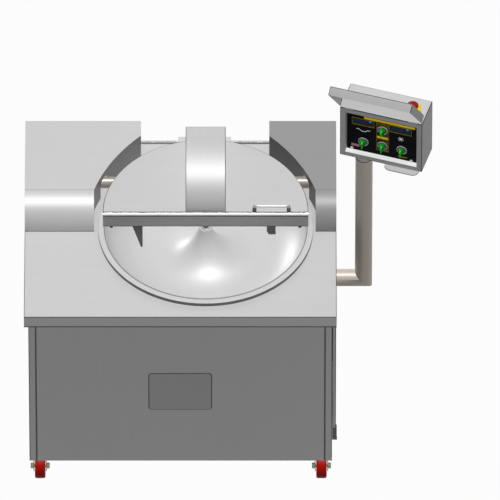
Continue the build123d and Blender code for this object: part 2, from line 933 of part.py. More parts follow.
with BuildPart() as lid_hinge_bar:
    with BuildSketch(hinge_plane(bar_start)):
        Circle(hinge_bar_radius)
    extrude(amount=bar_end - bar_start)
write(lid_hinge_bar, "lid_hinge_bar")

handle_y = lid_front + handle_behind_front

handle_left = handle_offset - handle_span / 2
handle_right = handle_offset + handle_span / 2
handle_top = lid_height + handle_height

handle_places = (
    (handle_left, handle_y, lid_height),
    (handle_left, handle_y, handle_top - handle_bend),
    (handle_left + handle_bend, handle_y - handle_bow * 0.4, handle_top),
    (handle_offset - handle_span * 0.2, handle_y - handle_bow, handle_top),
    (handle_offset + handle_span * 0.2, handle_y - handle_bow, handle_top),
    (handle_right - handle_bend, handle_y - handle_bow * 0.4, handle_top),
    (handle_right, handle_y, handle_top - handle_bend),
    (handle_right, handle_y, lid_height),
)

with BuildPart() as lid_handle:
    with BuildLine() as bow:
        Polyline(*[machine.from_local_coords(Vector(*place)) for place in handle_places])
    with BuildSketch(machine.offset(lid_height)):
        with Locations((handle_left, handle_y)):
            Circle(handle_bar)
    sweep(path=bow.wires()[0], transition=Transition.RIGHT)
write(lid_handle, "lid_handle")

flange_inner = lid_front + lid_sheet

with BuildPart() as lid_buffers:
    for side in (-1, 1):
        with BuildSketch(machine.offset(lid_underside - buffer_drop)):
            with Locations((side * buffer_offset, flange_inner + buffer_side / 2)):
                Rectangle(buffer_side, buffer_side)
        extrude(amount=2.5 * buffer_drop)
write(lid_buffers, "lid_buffers")

plate_top = lid_underside + blade_plate_overlap

with BuildPart() as plough:
    with BuildSketch(elevation(flange_inner)):
        Polygon(
            (-plough_left, plate_top),
            (-plough_right, plate_top),
            (-plough_right, lid_underside - plough_drop),
            (-plough_right - 6, lid_underside - plough_drop),
            (-plough_right - 10, lid_underside - plough_drop * 0.72),
            (-plough_right - 19, lid_underside - plough_drop * 0.38),
            (-plough_left, lid_underside - 4),
            align=None,
        )
    extrude(amount=-blade_plate)
write(plough, "plough")

with BuildPart() as bowl_scraper:
    with BuildSketch(elevation(flange_inner)):
        Polygon(
            (scraper_left, plate_top),
            (scraper_left, lid_underside - scraper_drop * 0.55),
            (scraper_left + 14, lid_underside - scraper_drop),
            (scraper_right, lid_underside - scraper_drop),
            (scraper_right, plate_top),
            align=None,
        )
    extrude(amount=-blade_plate)
write(bowl_scraper, "bowl_scraper")

# ---- Side door ----

door_bottom = caster_height + door_rise
door_top = top - worktop_lip - door_top_gap
door_x = cabinet_right + door_gap
door_back = front + door_front + door_length
door_axis_x = cabinet_right + door_gap + door_thickness / 2
door_axis_y = door_back + door_knuckle_radius + 1.5
door_hinge_levels = (door_bottom + 70, door_top - 70 - door_knuckle_height)

with BuildPart() as side_door:
    with BuildSketch(Plane.XY.offset(door_bottom)):
        with Locations((door_x + door_thickness / 2, door_back - door_length / 2)):
            Rectangle(door_thickness, door_length)
    extrude(amount=door_top - door_bottom)
    offset(amount=-panel_sheet, openings=side_door.faces().sort_by(Axis.X)[0])
    for level in door_hinge_levels:
        with BuildSketch(Plane.XY.offset(level)):
            with Locations((door_axis_x, door_axis_y)):
                octagon(door_knuckle_radius)
            with Locations((door_axis_x + door_knuckle_radius - 1.5, door_axis_y - 4)):
                Rectangle(3, 8)
            with Locations((door_axis_x, door_axis_y)):
                Circle(door_pin_radius + running_clearance, mode=Mode.SUBTRACT)
        extrude(amount=door_knuckle_height)
write(side_door, "side_door")

latch_y = front + door_front + 14
latch_z = door_bottom - latch_drop
latch_face = cabinet_right + door_gap + door_thickness + 0.3


def latch_plane(x):
    """Plane on the right side of the cabinet with its origin on the latch's pivot."""
    return Plane(origin=(x, latch_y, latch_z), x_dir=(0, 1, 0), z_dir=(1, 0, 0))


with BuildPart() as door_latch:
    with BuildSketch(latch_plane(latch_face)):
        with Locations((0, (latch_drop - latch_tip_gap) / 2 - latch_radius / 2)):
            Rectangle(2 * latch_radius - 3, latch_drop - latch_tip_gap + latch_radius - 8)
        octagon(latch_radius)
    extrude(amount=latch_thickness)
    with BuildSketch(latch_plane(cabinet_right + 2)):
        octagon(latch_radius - 1)
    extrude(amount=latch_face - cabinet_right - 2)
    with BuildSketch(latch_plane(cabinet_right)):
        Circle(door_pin_radius + running_clearance)
    extrude(amount=latch_face - cabinet_right, mode=Mode.SUBTRACT)
write(door_latch, "door_latch")

with BuildPart() as door_fittings:
    for level in door_hinge_levels:
        with BuildSketch(Plane.XY.offset(level - 0.3)):
            with Locations((door_axis_x, door_axis_y)):
                octagon(door_knuckle_radius)
            with Locations(((cabinet_right + door_axis_x) / 2, door_axis_y + door_knuckle_radius / 2)):
                Rectangle(door_axis_x - cabinet_right, door_knuckle_radius)
        extrude(amount=-10)
        with BuildSketch(Plane.XY.offset(level - 0.3)):
            with Locations((door_axis_x, door_axis_y)):
                Circle(door_pin_radius)
        extrude(amount=door_knuckle_height)
    with BuildSketch(latch_plane(cabinet_right)):
        octagon(latch_radius - 1)
    extrude(amount=1.7)
    with BuildSketch(latch_plane(cabinet_right)):
        Circle(door_pin_radius)
    extrude(amount=latch_face - cabinet_right - 1)
write(door_fittings, "door_fittings")

# ---- Control arm ----

arm_z = top - arm_below_top
post_top_z = top + post_top
arm_start = cabinet_right + arm_flange_thickness
arm_plane = Plane(origin=(cabinet_right, arm_y, arm_z), x_dir=(0, 1, 0), z_dir=(1, 0, 0))

with BuildPart() as control_arm:
    with BuildLine() as route:
        Polyline((arm_start, arm_y, arm_z), (post_x, arm_y, arm_z), (post_x, arm_y, post_top_z))
    with BuildSketch(arm_plane.offset(arm_flange_thickness)):
        Circle(pipe_radius)
        Circle(pipe_radius - pipe_wall, mode=Mode.SUBTRACT)
    sweep(path=route.wires()[0], transition=Transition.RIGHT)
    with BuildSketch(arm_plane):
        Rectangle(arm_flange, arm_flange)
    extrude(amount=arm_flange_thickness)
write(control_arm, "control_arm")

box_bottom_z = top + box_bottom
box_plane = Plane(
    origin=(post_x, arm_y, box_bottom_z), x_dir=(turn_cos, -turn_sin, 0), z_dir=(0, 0, 1)
)


def at_box(x, y, z):
    """Point of the machine from a place in the control box's own frame."""
    return box_plane.from_local_coords(Vector(x, y, z))


def box_front_plane(x, y, z):
    """Plane that faces the operator, at a place in the control box's own frame."""
    return Plane(origin=at_box(x, y, z), x_dir=box_plane.x_dir, z_dir=-box_plane.y_dir)


box_left = -post_from_box_left
box_middle = box_left + box_length / 2
box_front = -box_depth / 2
window_length = box_length - 2 * box_border
window_height = box_height - 2 * box_border
neck_radius = pipe_radius - pipe_wall - 2 * running_clearance

hinge_places = ((box_left + cover_hinge_inset, -1), (box_left + box_length - cover_hinge_inset, 1))
pin_length = cover_lug_width + 2
cover_axis_z = box_height + cover_knuckle_radius + cover_lug_gap


def knuckle_section(x):
    """Plane square to the cover's hinge, with its origin on the hinge's axis, x to the back of the box."""
    return Plane(origin=at_box(x, box_front, cover_axis_z), x_dir=box_plane.y_dir, z_dir=box_plane.x_dir)


stop_plane = Plane(
    origin=at_box(box_left + box_length - stop_from_right, box_front + stop_from_front, box_height),
    x_dir=box_plane.x_dir,
    z_dir=(0, 0, 1),
)

with BuildPart(box_plane) as control_box:
    with Locations((box_middle, 0, box_height / 2)):
        Box(box_length, box_depth, box_height)
        Box(
            box_length - 2 * box_sheet, box_depth - 2 * box_sheet, box_height - 2 * box_sheet, mode=Mode.SUBTRACT
        )
    with Locations((box_middle, box_front + box_recess / 2, box_height / 2)):
        Box(window_length + 2 * box_sheet, box_recess, window_height + 2 * box_sheet)
        Box(window_length, box_recess, window_height, mode=Mode.SUBTRACT)
    for place, side in hinge_places:
        with BuildSketch(knuckle_section(place - cover_knuckle_width / 2)):
            octagon(cover_knuckle_radius)
            with Locations((cover_knuckle_radius, (box_height - cover_axis_z) / 2)):
                Rectangle(2 * cover_knuckle_radius, cover_axis_z - box_height)
        extrude(amount=cover_knuckle_width)
        with BuildSketch(knuckle_section(place + side * cover_knuckle_width / 2)):
            Circle(cover_pin_radius)
        extrude(amount=side * pin_length)
    with BuildSketch(box_plane):
        Circle(neck_radius)
    extrude(amount=post_top - box_bottom - neck_depth)
    with BuildSketch(stop_plane):
        Circle(stop_stem_radius + 0.5)
    extrude(amount=-box_sheet, mode=Mode.SUBTRACT)
write(control_box, "control_box")

fascia_depth = box_front + box_recess
knob_places = (
    (knob_columns[1], knob_rows[0]),
    (knob_columns[0], knob_rows[1]),
    (knob_columns[1], knob_rows[1]),
    (knob_columns[2], knob_rows[1]),
)

with BuildPart(box_plane) as control_fascia:
    with Locations((box_middle, fascia_depth + fascia_thickness / 2, box_height / 2)):
        Box(window_length + 2 * fascia_overlap, fascia_thickness, window_height + 2 * fascia_overlap)
    for column, row in knob_places:
        with BuildSketch(box_front_plane(box_left + column, fascia_depth, row)):
            Circle(knob_stem_radius + running_clearance)
        extrude(amount=-fascia_thickness, mode=Mode.SUBTRACT)
write(control_fascia, "control_fascia")

for number, (column, row) in enumerate(knob_places, start=1):
    knob_plane = box_front_plane(box_left + column, fascia_depth, row)
    with BuildPart() as selector_knob:
        with BuildSketch(knob_plane.offset(knob_gap)):
            RegularPolygon(knob_radius, knob_sides)
        extrude(amount=knob_height - knob_gap)
        with BuildSketch(knob_plane.offset(knob_height / 2)):
            Rectangle(knob_grip_width, knob_radius * 1.8)
            with Locations((0, -knob_pointer + 1)):
                Rectangle(knob_grip_width / 4, 2)
            make_hull()
        extrude(amount=knob_height / 2 + knob_grip_height)
        with BuildSketch(knob_plane.offset(knob_gap)):
            Circle(knob_stem_radius)
        extrude(amount=-fascia_thickness - 8)
    write(selector_knob, f"selector_knob_{number}")

with BuildPart() as stop_collar:
    extrude(
        ring(stop_plane, stop_collar_radius, stop_stem_radius + running_clearance), amount=stop_collar_height
    )
write(stop_collar, "stop_collar")

with BuildPart() as stop_button:
    button_bottom = stop_collar_height + stop_travel + 1
    with BuildSketch(stop_plane.offset(-stop_stem_reach)):
        Circle(stop_stem_radius)
    extrude(amount=button_bottom + stop_stem_reach)
    with BuildSketch(stop_plane.offset(button_bottom)):
        Circle(stop_button_radius)
    extrude(amount=stop_button_height)
write(stop_button, "stop_button")

grip_x = box_left + grip_from_left + grip_length / 2

with BuildPart() as box_grip:
    with BuildSketch(box_plane.offset(-grip_sheet)):
        with Locations((grip_x, box_front + (grip_depth - grip_reach) / 2)):
            Rectangle(grip_length, grip_depth + grip_reach)
    extrude(amount=grip_sheet)
    front_corners = box_grip.edges().filter_by(Axis.Z).sort_by(Axis.Y)[0:2]
    fillet(front_corners, radius=grip_corner)
write(box_grip, "box_grip")

# The cover's own frame: x along the hinge, -y towards its free edge, +z towards its outer face.
open_sin = sin(radians(cover_open))
open_cos = cos(radians(cover_open))
outward = box_plane.y_dir * -open_cos + Vector(0, 0, 1) * open_sin
cover_plane = Plane(
    origin=at_box(0, box_front, cover_axis_z), x_dir=box_plane.x_dir, z_dir=outward
)
cover_edge = cover_knuckle_radius + 0.3

with BuildPart(cover_plane) as box_cover:
    with Locations((box_middle, -cover_edge - cover_height / 2, cover_gap + cover_depth / 2)):
        Box(box_length, cover_height, cover_depth)
    with Locations((box_middle, -cover_edge - cover_height / 2, cover_gap + (cover_depth - cover_sheet) / 2)):
        Box(
            box_length - 2 * cover_sheet,
            cover_height - 2 * cover_sheet,
            cover_depth - cover_sheet,
            mode=Mode.SUBTRACT,
        )
    for place, side in hinge_places:
        lug_start = place + side * (cover_knuckle_width / 2 + cover_gap)
        knuckle_plane = Plane(
            origin=cover_plane.from_local_coords(Vector(lug_start, 0, 0)),
            x_dir=cover_plane.y_dir,
            z_dir=cover_plane.x_dir,
        )
        with BuildSketch(knuckle_plane):
            octagon(cover_knuckle_radius * 0.92)
            with Locations((-cover_edge / 2, (cover_knuckle_radius + cover_gap) / 2)):
                Rectangle(cover_edge + 0.6, cover_knuckle_radius - cover_gap)
            Circle(cover_pin_radius + running_clearance, mode=Mode.SUBTRACT)
        extrude(amount=side * cover_lug_width)
write(box_cover, "box_cover")

# ---- Casters and bolts ----

plate_bottom = caster_height - caster_plate_thickness
cup_bottom = fork_crown_top + 0.3
caster_places = {
    "front_left": (left + caster_from_end, front + axle_from_front, 1),
    "front_right": (right - caster_from_end, front + axle_from_front, 1),
    "rear_left": (left + caster_from_end, back - axle_from_front, -1),
    "rear_right": (right - caster_from_end, back - axle_from_front, -1),
}

with BuildPart() as caster_plates:
    for x, axle_y, inward in caster_places.values():
        swivel_y = axle_y + inward * caster_trail
        with BuildSketch(Plane(origin=(x, swivel_y, plate_bottom))):
            Rectangle(caster_plate_side, caster_plate_side)
        extrude(amount=caster_plate_thickness)
        with BuildSketch(Plane(origin=(x, swivel_y, cup_bottom))):
            octagon(caster_cup_radius)
        extrude(amount=plate_bottom - cup_bottom)
        with BuildSketch(Plane(origin=(x, swivel_y, cup_bottom))):
            Circle(axle_radius)
        extrude(amount=-(cup_bottom - fork_crown_top + fork_sheet))
write(caster_plates, "caster_plates")

for name, (x, axle_y, inward) in caster_places.items():
    swivel_y = axle_y + inward * caster_trail
    axle_plane = Plane(origin=(x, axle_y, wheel_radius), x_dir=(0, 1, 0), z_dir=(1, 0, 0))
    crown_y = inward * caster_trail
    crown_z = fork_crown_top - wheel_radius
    cheek = wheel_width / 2 + fork_gap
    with BuildPart() as fork:
        for side in (-1, 1):
            with BuildSketch(axle_plane.offset(side * (cheek + fork_sheet / 2) - fork_sheet / 2)):
                octagon(fork_lobe_radius)
                with Locations((crown_y, crown_z - fork_sheet / 2)):
                    Rectangle(2 * fork_crown_radius - 8, fork_sheet)
                make_hull()
            extrude(amount=fork_sheet)
        with BuildSketch(Plane(origin=(x, swivel_y, fork_crown_top))):
            Rectangle(2 * (cheek + fork_sheet), 2 * fork_crown_radius - 8)
            Circle(axle_radius + running_clearance, mode=Mode.SUBTRACT)
        extrude(amount=-fork_sheet)
        with BuildSketch(axle_plane.offset(-cheek - fork_sheet)):
            Circle(axle_radius)
        extrude(amount=2 * (cheek + fork_sheet))
        for side in (-1, 1):
            with BuildSketch(axle_plane.offset(side * (cheek + fork_sheet))):
                RegularPolygon(axle_cap_radius, 6)
            extrude(amount=side * axle_cap_width)
    write(fork, f"caster_fork_{name}")
    with BuildPart() as wheel:
        with BuildSketch(axle_plane.offset(-wheel_width / 2)):
            Circle(wheel_radius)
        extrude(amount=wheel_width)
        with BuildSketch(axle_plane.offset(-wheel_width / 2)):
            Circle(axle_radius + running_clearance)
        extrude(amount=wheel_width, mode=Mode.SUBTRACT)
    write(wheel, f"caster_wheel_{name}")

with BuildPart() as frame_bolts:
    for x, axle_y, inward in caster_places.values():
        swivel_y = axle_y + inward * caster_trail
        with BuildSketch(Plane(origin=(x, swivel_y, plate_bottom))):
            with GridLocations(caster_bolt_spacing, caster_bolt_spacing, 2, 2):
                RegularPolygon(bolt_head_radius, 6)
        extrude(amount=-bolt_head_height)
    with BuildSketch(arm_plane.offset(arm_flange_thickness)):
        with GridLocations(arm_flange * 0.72, arm_flange * 0.72, 2, 2):
            RegularPolygon(bolt_head_radius * 1.3, 6)
    extrude(amount=2 * bolt_head_height)
write(frame_bolts, "frame_bolts")
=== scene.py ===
import json
import math

import bpy
from mathutils import Matrix, Vector

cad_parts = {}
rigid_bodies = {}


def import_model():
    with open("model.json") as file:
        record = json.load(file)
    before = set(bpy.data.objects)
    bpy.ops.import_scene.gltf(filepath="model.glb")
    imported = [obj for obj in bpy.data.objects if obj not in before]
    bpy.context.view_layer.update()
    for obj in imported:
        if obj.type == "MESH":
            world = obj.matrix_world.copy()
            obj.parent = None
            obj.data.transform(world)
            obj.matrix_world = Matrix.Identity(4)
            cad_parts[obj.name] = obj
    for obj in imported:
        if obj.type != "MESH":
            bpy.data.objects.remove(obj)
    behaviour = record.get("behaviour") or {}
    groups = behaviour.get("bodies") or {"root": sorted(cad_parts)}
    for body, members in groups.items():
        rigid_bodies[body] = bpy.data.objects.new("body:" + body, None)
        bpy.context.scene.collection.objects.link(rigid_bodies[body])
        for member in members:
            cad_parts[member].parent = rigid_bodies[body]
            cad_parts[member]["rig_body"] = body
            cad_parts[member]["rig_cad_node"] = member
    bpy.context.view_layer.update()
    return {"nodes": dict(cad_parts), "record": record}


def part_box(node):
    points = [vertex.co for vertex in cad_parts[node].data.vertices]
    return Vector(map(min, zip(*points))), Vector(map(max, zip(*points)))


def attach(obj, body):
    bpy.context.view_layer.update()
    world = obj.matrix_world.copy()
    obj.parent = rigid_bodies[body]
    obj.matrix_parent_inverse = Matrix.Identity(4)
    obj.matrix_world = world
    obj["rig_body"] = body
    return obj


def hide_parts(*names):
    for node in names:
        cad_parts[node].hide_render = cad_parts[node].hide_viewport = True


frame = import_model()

MM = 0.001
UP = Vector((0, 0, 1))

# ---- Camera: long lens from 45 degrees above the front ----

lens = 1560
sensor = 36
view_width = 1.75
aim = Vector((0.0765, -0.1034, 0.84))
tilt = math.radians(45)
camera_data = bpy.data.cameras.new("camera")
camera_data.lens = lens
camera_data.sensor_width = sensor
camera = bpy.data.objects.new("camera", camera_data)
reach = view_width * lens / sensor
camera.location = aim + reach * Vector((0, -math.cos(tilt), math.sin(tilt)))
camera.rotation_euler = (math.pi / 2 - tilt, 0, 0)
camera_data.clip_start = 1
camera_data.clip_end = 2 * reach
bpy.context.scene.collection.objects.link(camera)
bpy.context.scene.camera = camera

# ---- Places, from the CAD nodes ----

table_low, table_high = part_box("worktop")
left, right = table_low.x, table_high.x
top = table_high.z
bowl_low, bowl_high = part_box("bowl")
bowl_x = (bowl_low.x + bowl_high.x) / 2
bowl_y = (bowl_low.y + bowl_high.y) / 2
shaft_low, shaft_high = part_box("knife_shaft")
shaft_y = (shaft_low.y + shaft_high.y) / 2
shaft_z = (shaft_low.z + shaft_high.z) / 2
rim_radius = 377


def at_bowl(x, y, z):
    """Place counted in millimetres from the bowl's axis at the worktop's level."""
    return Vector((bowl_x + x * MM, bowl_y + y * MM, top + z * MM))


# ---- Shader maths ----


class Link:
    """An output socket that takes part in sums."""

    def __init__(self, finish, socket):
        self.finish = finish
        self.socket = socket

    def maths(self, operation, *values):
        return self.finish.node("ShaderNodeMath", {"operation": operation}, *values)

    def __add__(self, other):
        return self.maths("ADD", self, other)

    def __sub__(self, other):
        return self.maths("SUBTRACT", self, other)

    def __mul__(self, other):
        return self.maths("MULTIPLY", self, other)

    __radd__ = __add__


class Finish:
    """A node material that is built up from expressions."""

    def __init__(self, name):
        self.material = bpy.data.materials.new(name)
        self.material.use_nodes = True
        self.tree = self.material.node_tree
        self.shader = self.tree.nodes["Principled BSDF"]
        self.place = self.node("ShaderNodeTexCoord", {}, output="Object")

    def node(self, kind, settings, *values, output=0, **named):
        """Adds a node, sets it up, feeds its inputs and returns one of its outputs."""
        made = self.tree.nodes.new(kind)
        for key, value in settings.items():
            if key == "stops":
                self.set_stops(made.color_ramp, value)
            else:
                setattr(made, key, value)
        wanted = [(made.inputs[i], v) for i, v in enumerate(values) if v is not None]
        wanted += [(self.find(made.inputs, k), v) for k, v in named.items()]
        for socket, value in wanted:
            self.feed(socket, value)
        found = made.outputs[output] if isinstance(output, int) else self.find(made.outputs, output)
        return Link(self, found)

    @staticmethod
    def find(sockets, name):
        wanted = name.replace("_", " ").lower()
        return next(s for s in sockets if s.enabled and s.name.lower() == wanted)

    @staticmethod
    def set_stops(ramp, stops):
        while len(ramp.elements) < len(stops):
            ramp.elements.new(0.5)
        for element, (position, shade) in zip(ramp.elements, stops):
            element.position = position
            element.color = (shade, shade, shade, 1) if isinstance(shade, (int, float)) else (*shade, 1)

    def feed(self, socket, value):
        if isinstance(value, Link):
            self.tree.links.new(value.socket, socket)
        elif isinstance(value, (tuple, list)) and socket.type == "RGBA":
            socket.default_value = (*value[:3], 1)
        else:
            socket.default_value = value

    def set(self, **inputs):
        """Sets or links the shader's own sockets."""
        for name, value in inputs.items():
            self.feed(self.find(self.shader.inputs, name), value)

    def noise(self, scale, stretch=(1, 1, 1), detail=3, roughness=0.5):
        """Noise on the piece's own place, stretched along the axes."""
        mapped = self.node("ShaderNodeMapping", {}, self.place, Scale=stretch)
        return self.node(
            "ShaderNodeTexNoise", {}, Vector=mapped, Scale=scale, Detail=detail, Roughness=roughness
        )

    def blend(self, factor, one, two):
        """Colour between two colours."""
        return self.node(
            "ShaderNodeMix",
            {"data_type": "RGBA"},
            output="Result",
            Factor=factor,
            A=one,
            B=two,
        )

    def ramp(self, value, *stops):
        return self.node("ShaderNodeValToRGB", {"stops": stops}, value)

    def bump(self, height, depth, strength):
        """Feeds a height pattern to the normal, with its depth in metres."""
        normal = self.node("ShaderNodeBump", {}, Height=height, Distance=depth, Strength=strength)
        self.set(Normal=normal)


def shade(value):
    """Linear grey or colour from values written as they look."""
    if isinstance(value, (int, float)):
        value = (value, value, value)
    return tuple((v / 255 / 12.92) if v < 10.3 else ((v / 255 + 0.055) / 1.055) ** 2.4 for v in value)


def steel(name, colour, grain=(1, 1, 1), roughness=0.42, metallic=0.14, streaks=0.05, depth=0.00004):
    """Sheet or bar steel with a fine grain drawn along one axis, faint smudges and a soft sheen."""
    finish = Finish(name)
    base = shade(colour)
    darker = tuple(c * (1 - 2 * streaks) for c in base)
    lines = finish.noise(60, grain, detail=4, roughness=0.7)
    smudge = finish.noise(2.2, detail=3)
    finish.set(
        Base_Color=finish.blend(lines * 0.7 + smudge * 0.3, darker, base),
        Roughness=roughness - 0.05 + lines * 0.06 + smudge * 0.05,
        Metallic=metallic,
    )
    finish.bump(lines, depth, 0.25)
    return finish.material


def paint(
    name, colour, roughness=0.45, grain=900, depth=0.00006, patches=0.06, coat=0.0, gloss=0.5, glow=0.0
):
    """Paint or moulded plastic with a fine skin, slightly uneven colour and a glow where glow is given: a
    lamp's own light in the display lights, painted light on other parts.
    """
    finish = Finish(name)
    base = shade(colour)
    darker = tuple(c * (1 - 2 * patches) for c in base)
    skin = finish.noise(grain, detail=2)
    patch = finish.noise(5, detail=4)
    finish.set(
        Base_Color=finish.blend(patch, darker, base),
        Roughness=roughness + patch * 0.08 - 0.04,
        Coat_Weight=coat,
        Specular_IOR_Level=gloss,
    )
    if glow:
        finish.set(Emission_Color=(*base, 1), Emission_Strength=glow)
    finish.bump(skin, depth, 0.2)
    return finish.material


def rubber(name, colour):
    """Matt rubber with a dusty bloom."""
    finish = Finish(name)
    base = shade(colour)
    dusty = tuple(c * 1.6 + 0.01 for c in base)
    bloom = finish.noise(45, detail=5, roughness=0.65)
    skin = finish.noise(700)
    spread = finish.ramp(bloom, (0.45, 0), (0.7, 1))
    finish.set(Base_Color=finish.blend(spread, base, dusty), Roughness=0.75)
    finish.bump(skin, 0.0001, 0.35)
    return finish.material


ACROSS = (0.04, 1, 1)
BACKWARDS = (1, 0.04, 1)
UPRIGHT = (1, 1, 0.04)
FINE = 0.000006

sheet_steel = steel("worktop_sheet", 205, ACROSS)
roll_steel = steel("housing_sheet", 202, ACROSS, roughness=0.47, metallic=0.19)
dark_roll_steel = steel("right_housing_sheet", 149, ACROSS, roughness=0.47, metallic=0.13)
# Painted shade: darker copies of the housing sheets for the concave walls round the bowl.
wall_shade_steel = steel("housing_wall", 138, UPRIGHT, metallic=0.08)
dark_wall_shade_steel = steel("right_housing_wall", 88, UPRIGHT, metallic=0.06)
lid_steel = steel("lid_sheet", 202, ACROSS)
# Painted shade: a darker copy of the lid sheet for the lid's front-facing flange.
flange_shade_steel = steel("lid_flange", 168, ACROSS, metallic=0.08)
hood_steel = steel("hood_sheet", 199, BACKWARDS, roughness=0.48, metallic=0.19)
bowl_steel = steel("spun_bowl", 205, roughness=0.44, metallic=0.12, streaks=0.02)
# Painted shade: a dark grey for the bowl rim's outer side and its groove.
rim_shade_steel = steel("rim_band", 110, metallic=0.05)
# Painted shade: near-black strips along edges, folds, feet and seams.
edge_steel = steel("edge_steel", 46, metallic=0.02)
# Partly painted highlight: a paler, glossier steel for bends, brighter than the sheet they belong to.
polished_highlight_steel = steel("polished_bend", 235, ACROSS, roughness=0.3, metallic=0.6, depth=FINE)
panel_steel = steel("cabinet_sheet", 192, UPRIGHT)
plate_steel = steel("blank_plate", 170, ACROSS)
latch_steel = steel("cast_latch", 92, UPRIGHT, metallic=0.2)
blade_steel = steel("plough_blade", 84, ACROSS, metallic=0.02)
bar_steel = steel("bright_bar", 214, ACROSS, roughness=0.28, metallic=0.45, depth=FINE)
sleeve_steel = steel("shaft_sleeve", (168, 160, 152), ACROSS, roughness=0.33, metallic=0.3)
pipe_steel = steel("arm_pipe", (200, 189, 179), UPRIGHT, roughness=0.4)
box_steel = steel("box_sheet", 202, (0.3, 1, 1), streaks=0.06, depth=FINE)
# Painted shade: darker copies of the box sheet for its front and right side; painted highlight: a paler copy
# for the window sill.
box_front_shade_steel = steel("box_front", 182, (0.3, 1, 1), streaks=0.06)
sill_highlight_steel = steel("box_sill", 240, (0.3, 1, 1), metallic=0.04)
box_side_shade_steel = steel("box_side", 120, UPRIGHT, metallic=0.06, streaks=0.06, depth=FINE)
# Painted shade: darker copies of the cover sheet for the tray's free end and right side.
cover_end_shade_steel = steel("cover_sheet", 174, (0.3, 1, 1), streaks=0.06, depth=FINE)
cover_side_shade_steel = steel("cover_side", 96, UPRIGHT, metallic=0.06, depth=FINE)
handle_steel = steel("drawn_bar", 150, ACROSS, roughness=0.24, metallic=0.7, depth=FINE)
# Painted shade: a darker copy of the bar steel for the handle's upright feet.
foot_shade_steel = steel("handle_foot", 96, UPRIGHT, roughness=0.3, metallic=0.5)
knife_steel = steel("ground_knife", 200, roughness=0.25, metallic=0.6, streaks=0.04)
frame_paint = paint("frame_primer", (104, 108, 112))
motor_paint = paint("motor_enamel", (70, 92, 112), coat=0.2)
cast_paint = paint("cast_grey", (84, 86, 88), depth=0.0004, grain=260)
belt_rubber = rubber("belt_rubber", 38)
buffer_rubber = rubber("buffer_rubber", 46)
fascia_black = paint("fascia_black", (8, 9, 13), roughness=0.6, gloss=0.04)
# Painted light: the knob body glows faintly though it is no lamp.
knob_green = paint("knob_green", (6, 124, 24), roughness=0.4, patches=0.03, gloss=0.1, glow=0.02)
# Painted highlight: a paler, glowing copy of the knob green for the grip on the knob's top.
grip_green = paint("grip_green", (20, 214, 46), roughness=0.35, patches=0.03, gloss=0.2, glow=0.06)
bezel_grey = paint("bezel_grey", (176, 160, 186), roughness=0.4)
stop_yellow = paint("stop_yellow", (224, 216, 8), roughness=0.45, gloss=0.15)
stop_red = paint("stop_red", (158, 10, 8), roughness=0.4, gloss=0.15)
wheel_red = paint("wheel_red", (178, 18, 6), roughness=0.45, gloss=0.1)
zinc_steel = steel("zinc_fork", (132, 144, 118), roughness=0.33, metallic=0.5, streaks=0.1)
# Painted light: the printed strip glows though it is no lamp.
strip_yellow = paint("strip_yellow", (226, 186, 20), roughness=0.5, gloss=0.1, glow=0.3)
trim_yellow = paint("trim_yellow", (150, 138, 24), roughness=0.5, gloss=0.1)
display_dark = paint("display_dark", (14, 24, 40), roughness=0.3, gloss=0.1)
display_field = paint("display_field", (24, 44, 74), roughness=0.4, gloss=0.1)
display_blue = paint("display_blue", (40, 120, 190), roughness=0.4, gloss=0.1, glow=0.4)
# Painted light: the printed signs and labels glow though they are no lamps.
icon_white = paint("icon_white", (226, 226, 226), roughness=0.5, gloss=0.1, glow=0.3)
label_rose = paint("label_rose", (200, 130, 140), roughness=0.5, gloss=0.1, glow=0.1)

# ---- Hand tools ----


def hold(piece):
    """Leaves edit mode and selects only this piece."""
    if bpy.context.object and bpy.context.object.mode != "OBJECT":
        bpy.ops.object.mode_set(mode="OBJECT")
    bpy.ops.object.select_all(action="DESELECT")
    if piece:
        bpy.context.view_layer.objects.active = piece
        piece.select_set(True)


def settle(piece):
    """Puts the piece's place, turn and size into its mesh."""
    hold(piece)
    bpy.ops.object.transform_apply(location=True, rotation=True, scale=True)
    return piece


def added(name):
    piece = bpy.context.object
    piece.name = name
    # Slot 1 takes the painted shade of edges, slot 2 the partly painted highlight of bends.
    for material in (sheet_steel, edge_steel, polished_highlight_steel):
        piece.data.materials.append(material)
    bpy.context.tool_settings.mesh_select_mode = (True, False, False)
    return settle(piece)


def block(name, low, high):
    """Box between two corners."""
    hold(None)
    low, high = Vector(low), Vector(high)
    bpy.ops.mesh.primitive_cube_add(size=1, location=(low + high) / 2)
    bpy.context.object.scale = high - low
    return added(name)


def rod(name, start, end, radius, sides=48):
    """Round bar between two points."""
    hold(None)
    start, end = Vector(start), Vector(end)
    run = end - start
    bpy.ops.mesh.primitive_cylinder_add(
        vertices=sides, radius=radius, depth=run.length, location=(start + end) / 2
    )
    bpy.context.object.rotation_euler = run.to_track_quat("Z", "Y").to_euler()
    return added(name)


SELECT_MODES = {"VERT": (True, False, False), "EDGE": (False, True, False), "FACE": (False, False, True)}


def pick(piece, kind, test):
    """Selects what passes a test: test(place), test(end, end) or test(middle, normal)."""
    hold(piece)
    mesh = piece.data
    for group in (mesh.vertices, mesh.edges, mesh.polygons):
        group.foreach_set("select", [False] * len(group))
    place = [v.co for v in mesh.vertices]
    if kind == "VERT":
        for vertex in mesh.vertices:
            vertex.select = test(vertex.co)
    elif kind == "EDGE":
        for edge in mesh.edges:
            edge.select = test(place[edge.vertices[0]], place[edge.vertices[1]])
    else:
        for face in mesh.polygons:
            face.select = test(face.center, face.normal)
    bpy.context.tool_settings.mesh_select_mode = SELECT_MODES[kind]
    bpy.ops.object.mode_set(mode="EDIT")


def bevel_edges(piece, test, offset, steps=3, slot=-1):
    pick(piece, "EDGE", test)
    bpy.ops.mesh.bevel(offset=offset, segments=steps, affect="EDGES", material=slot)
    hold(piece)


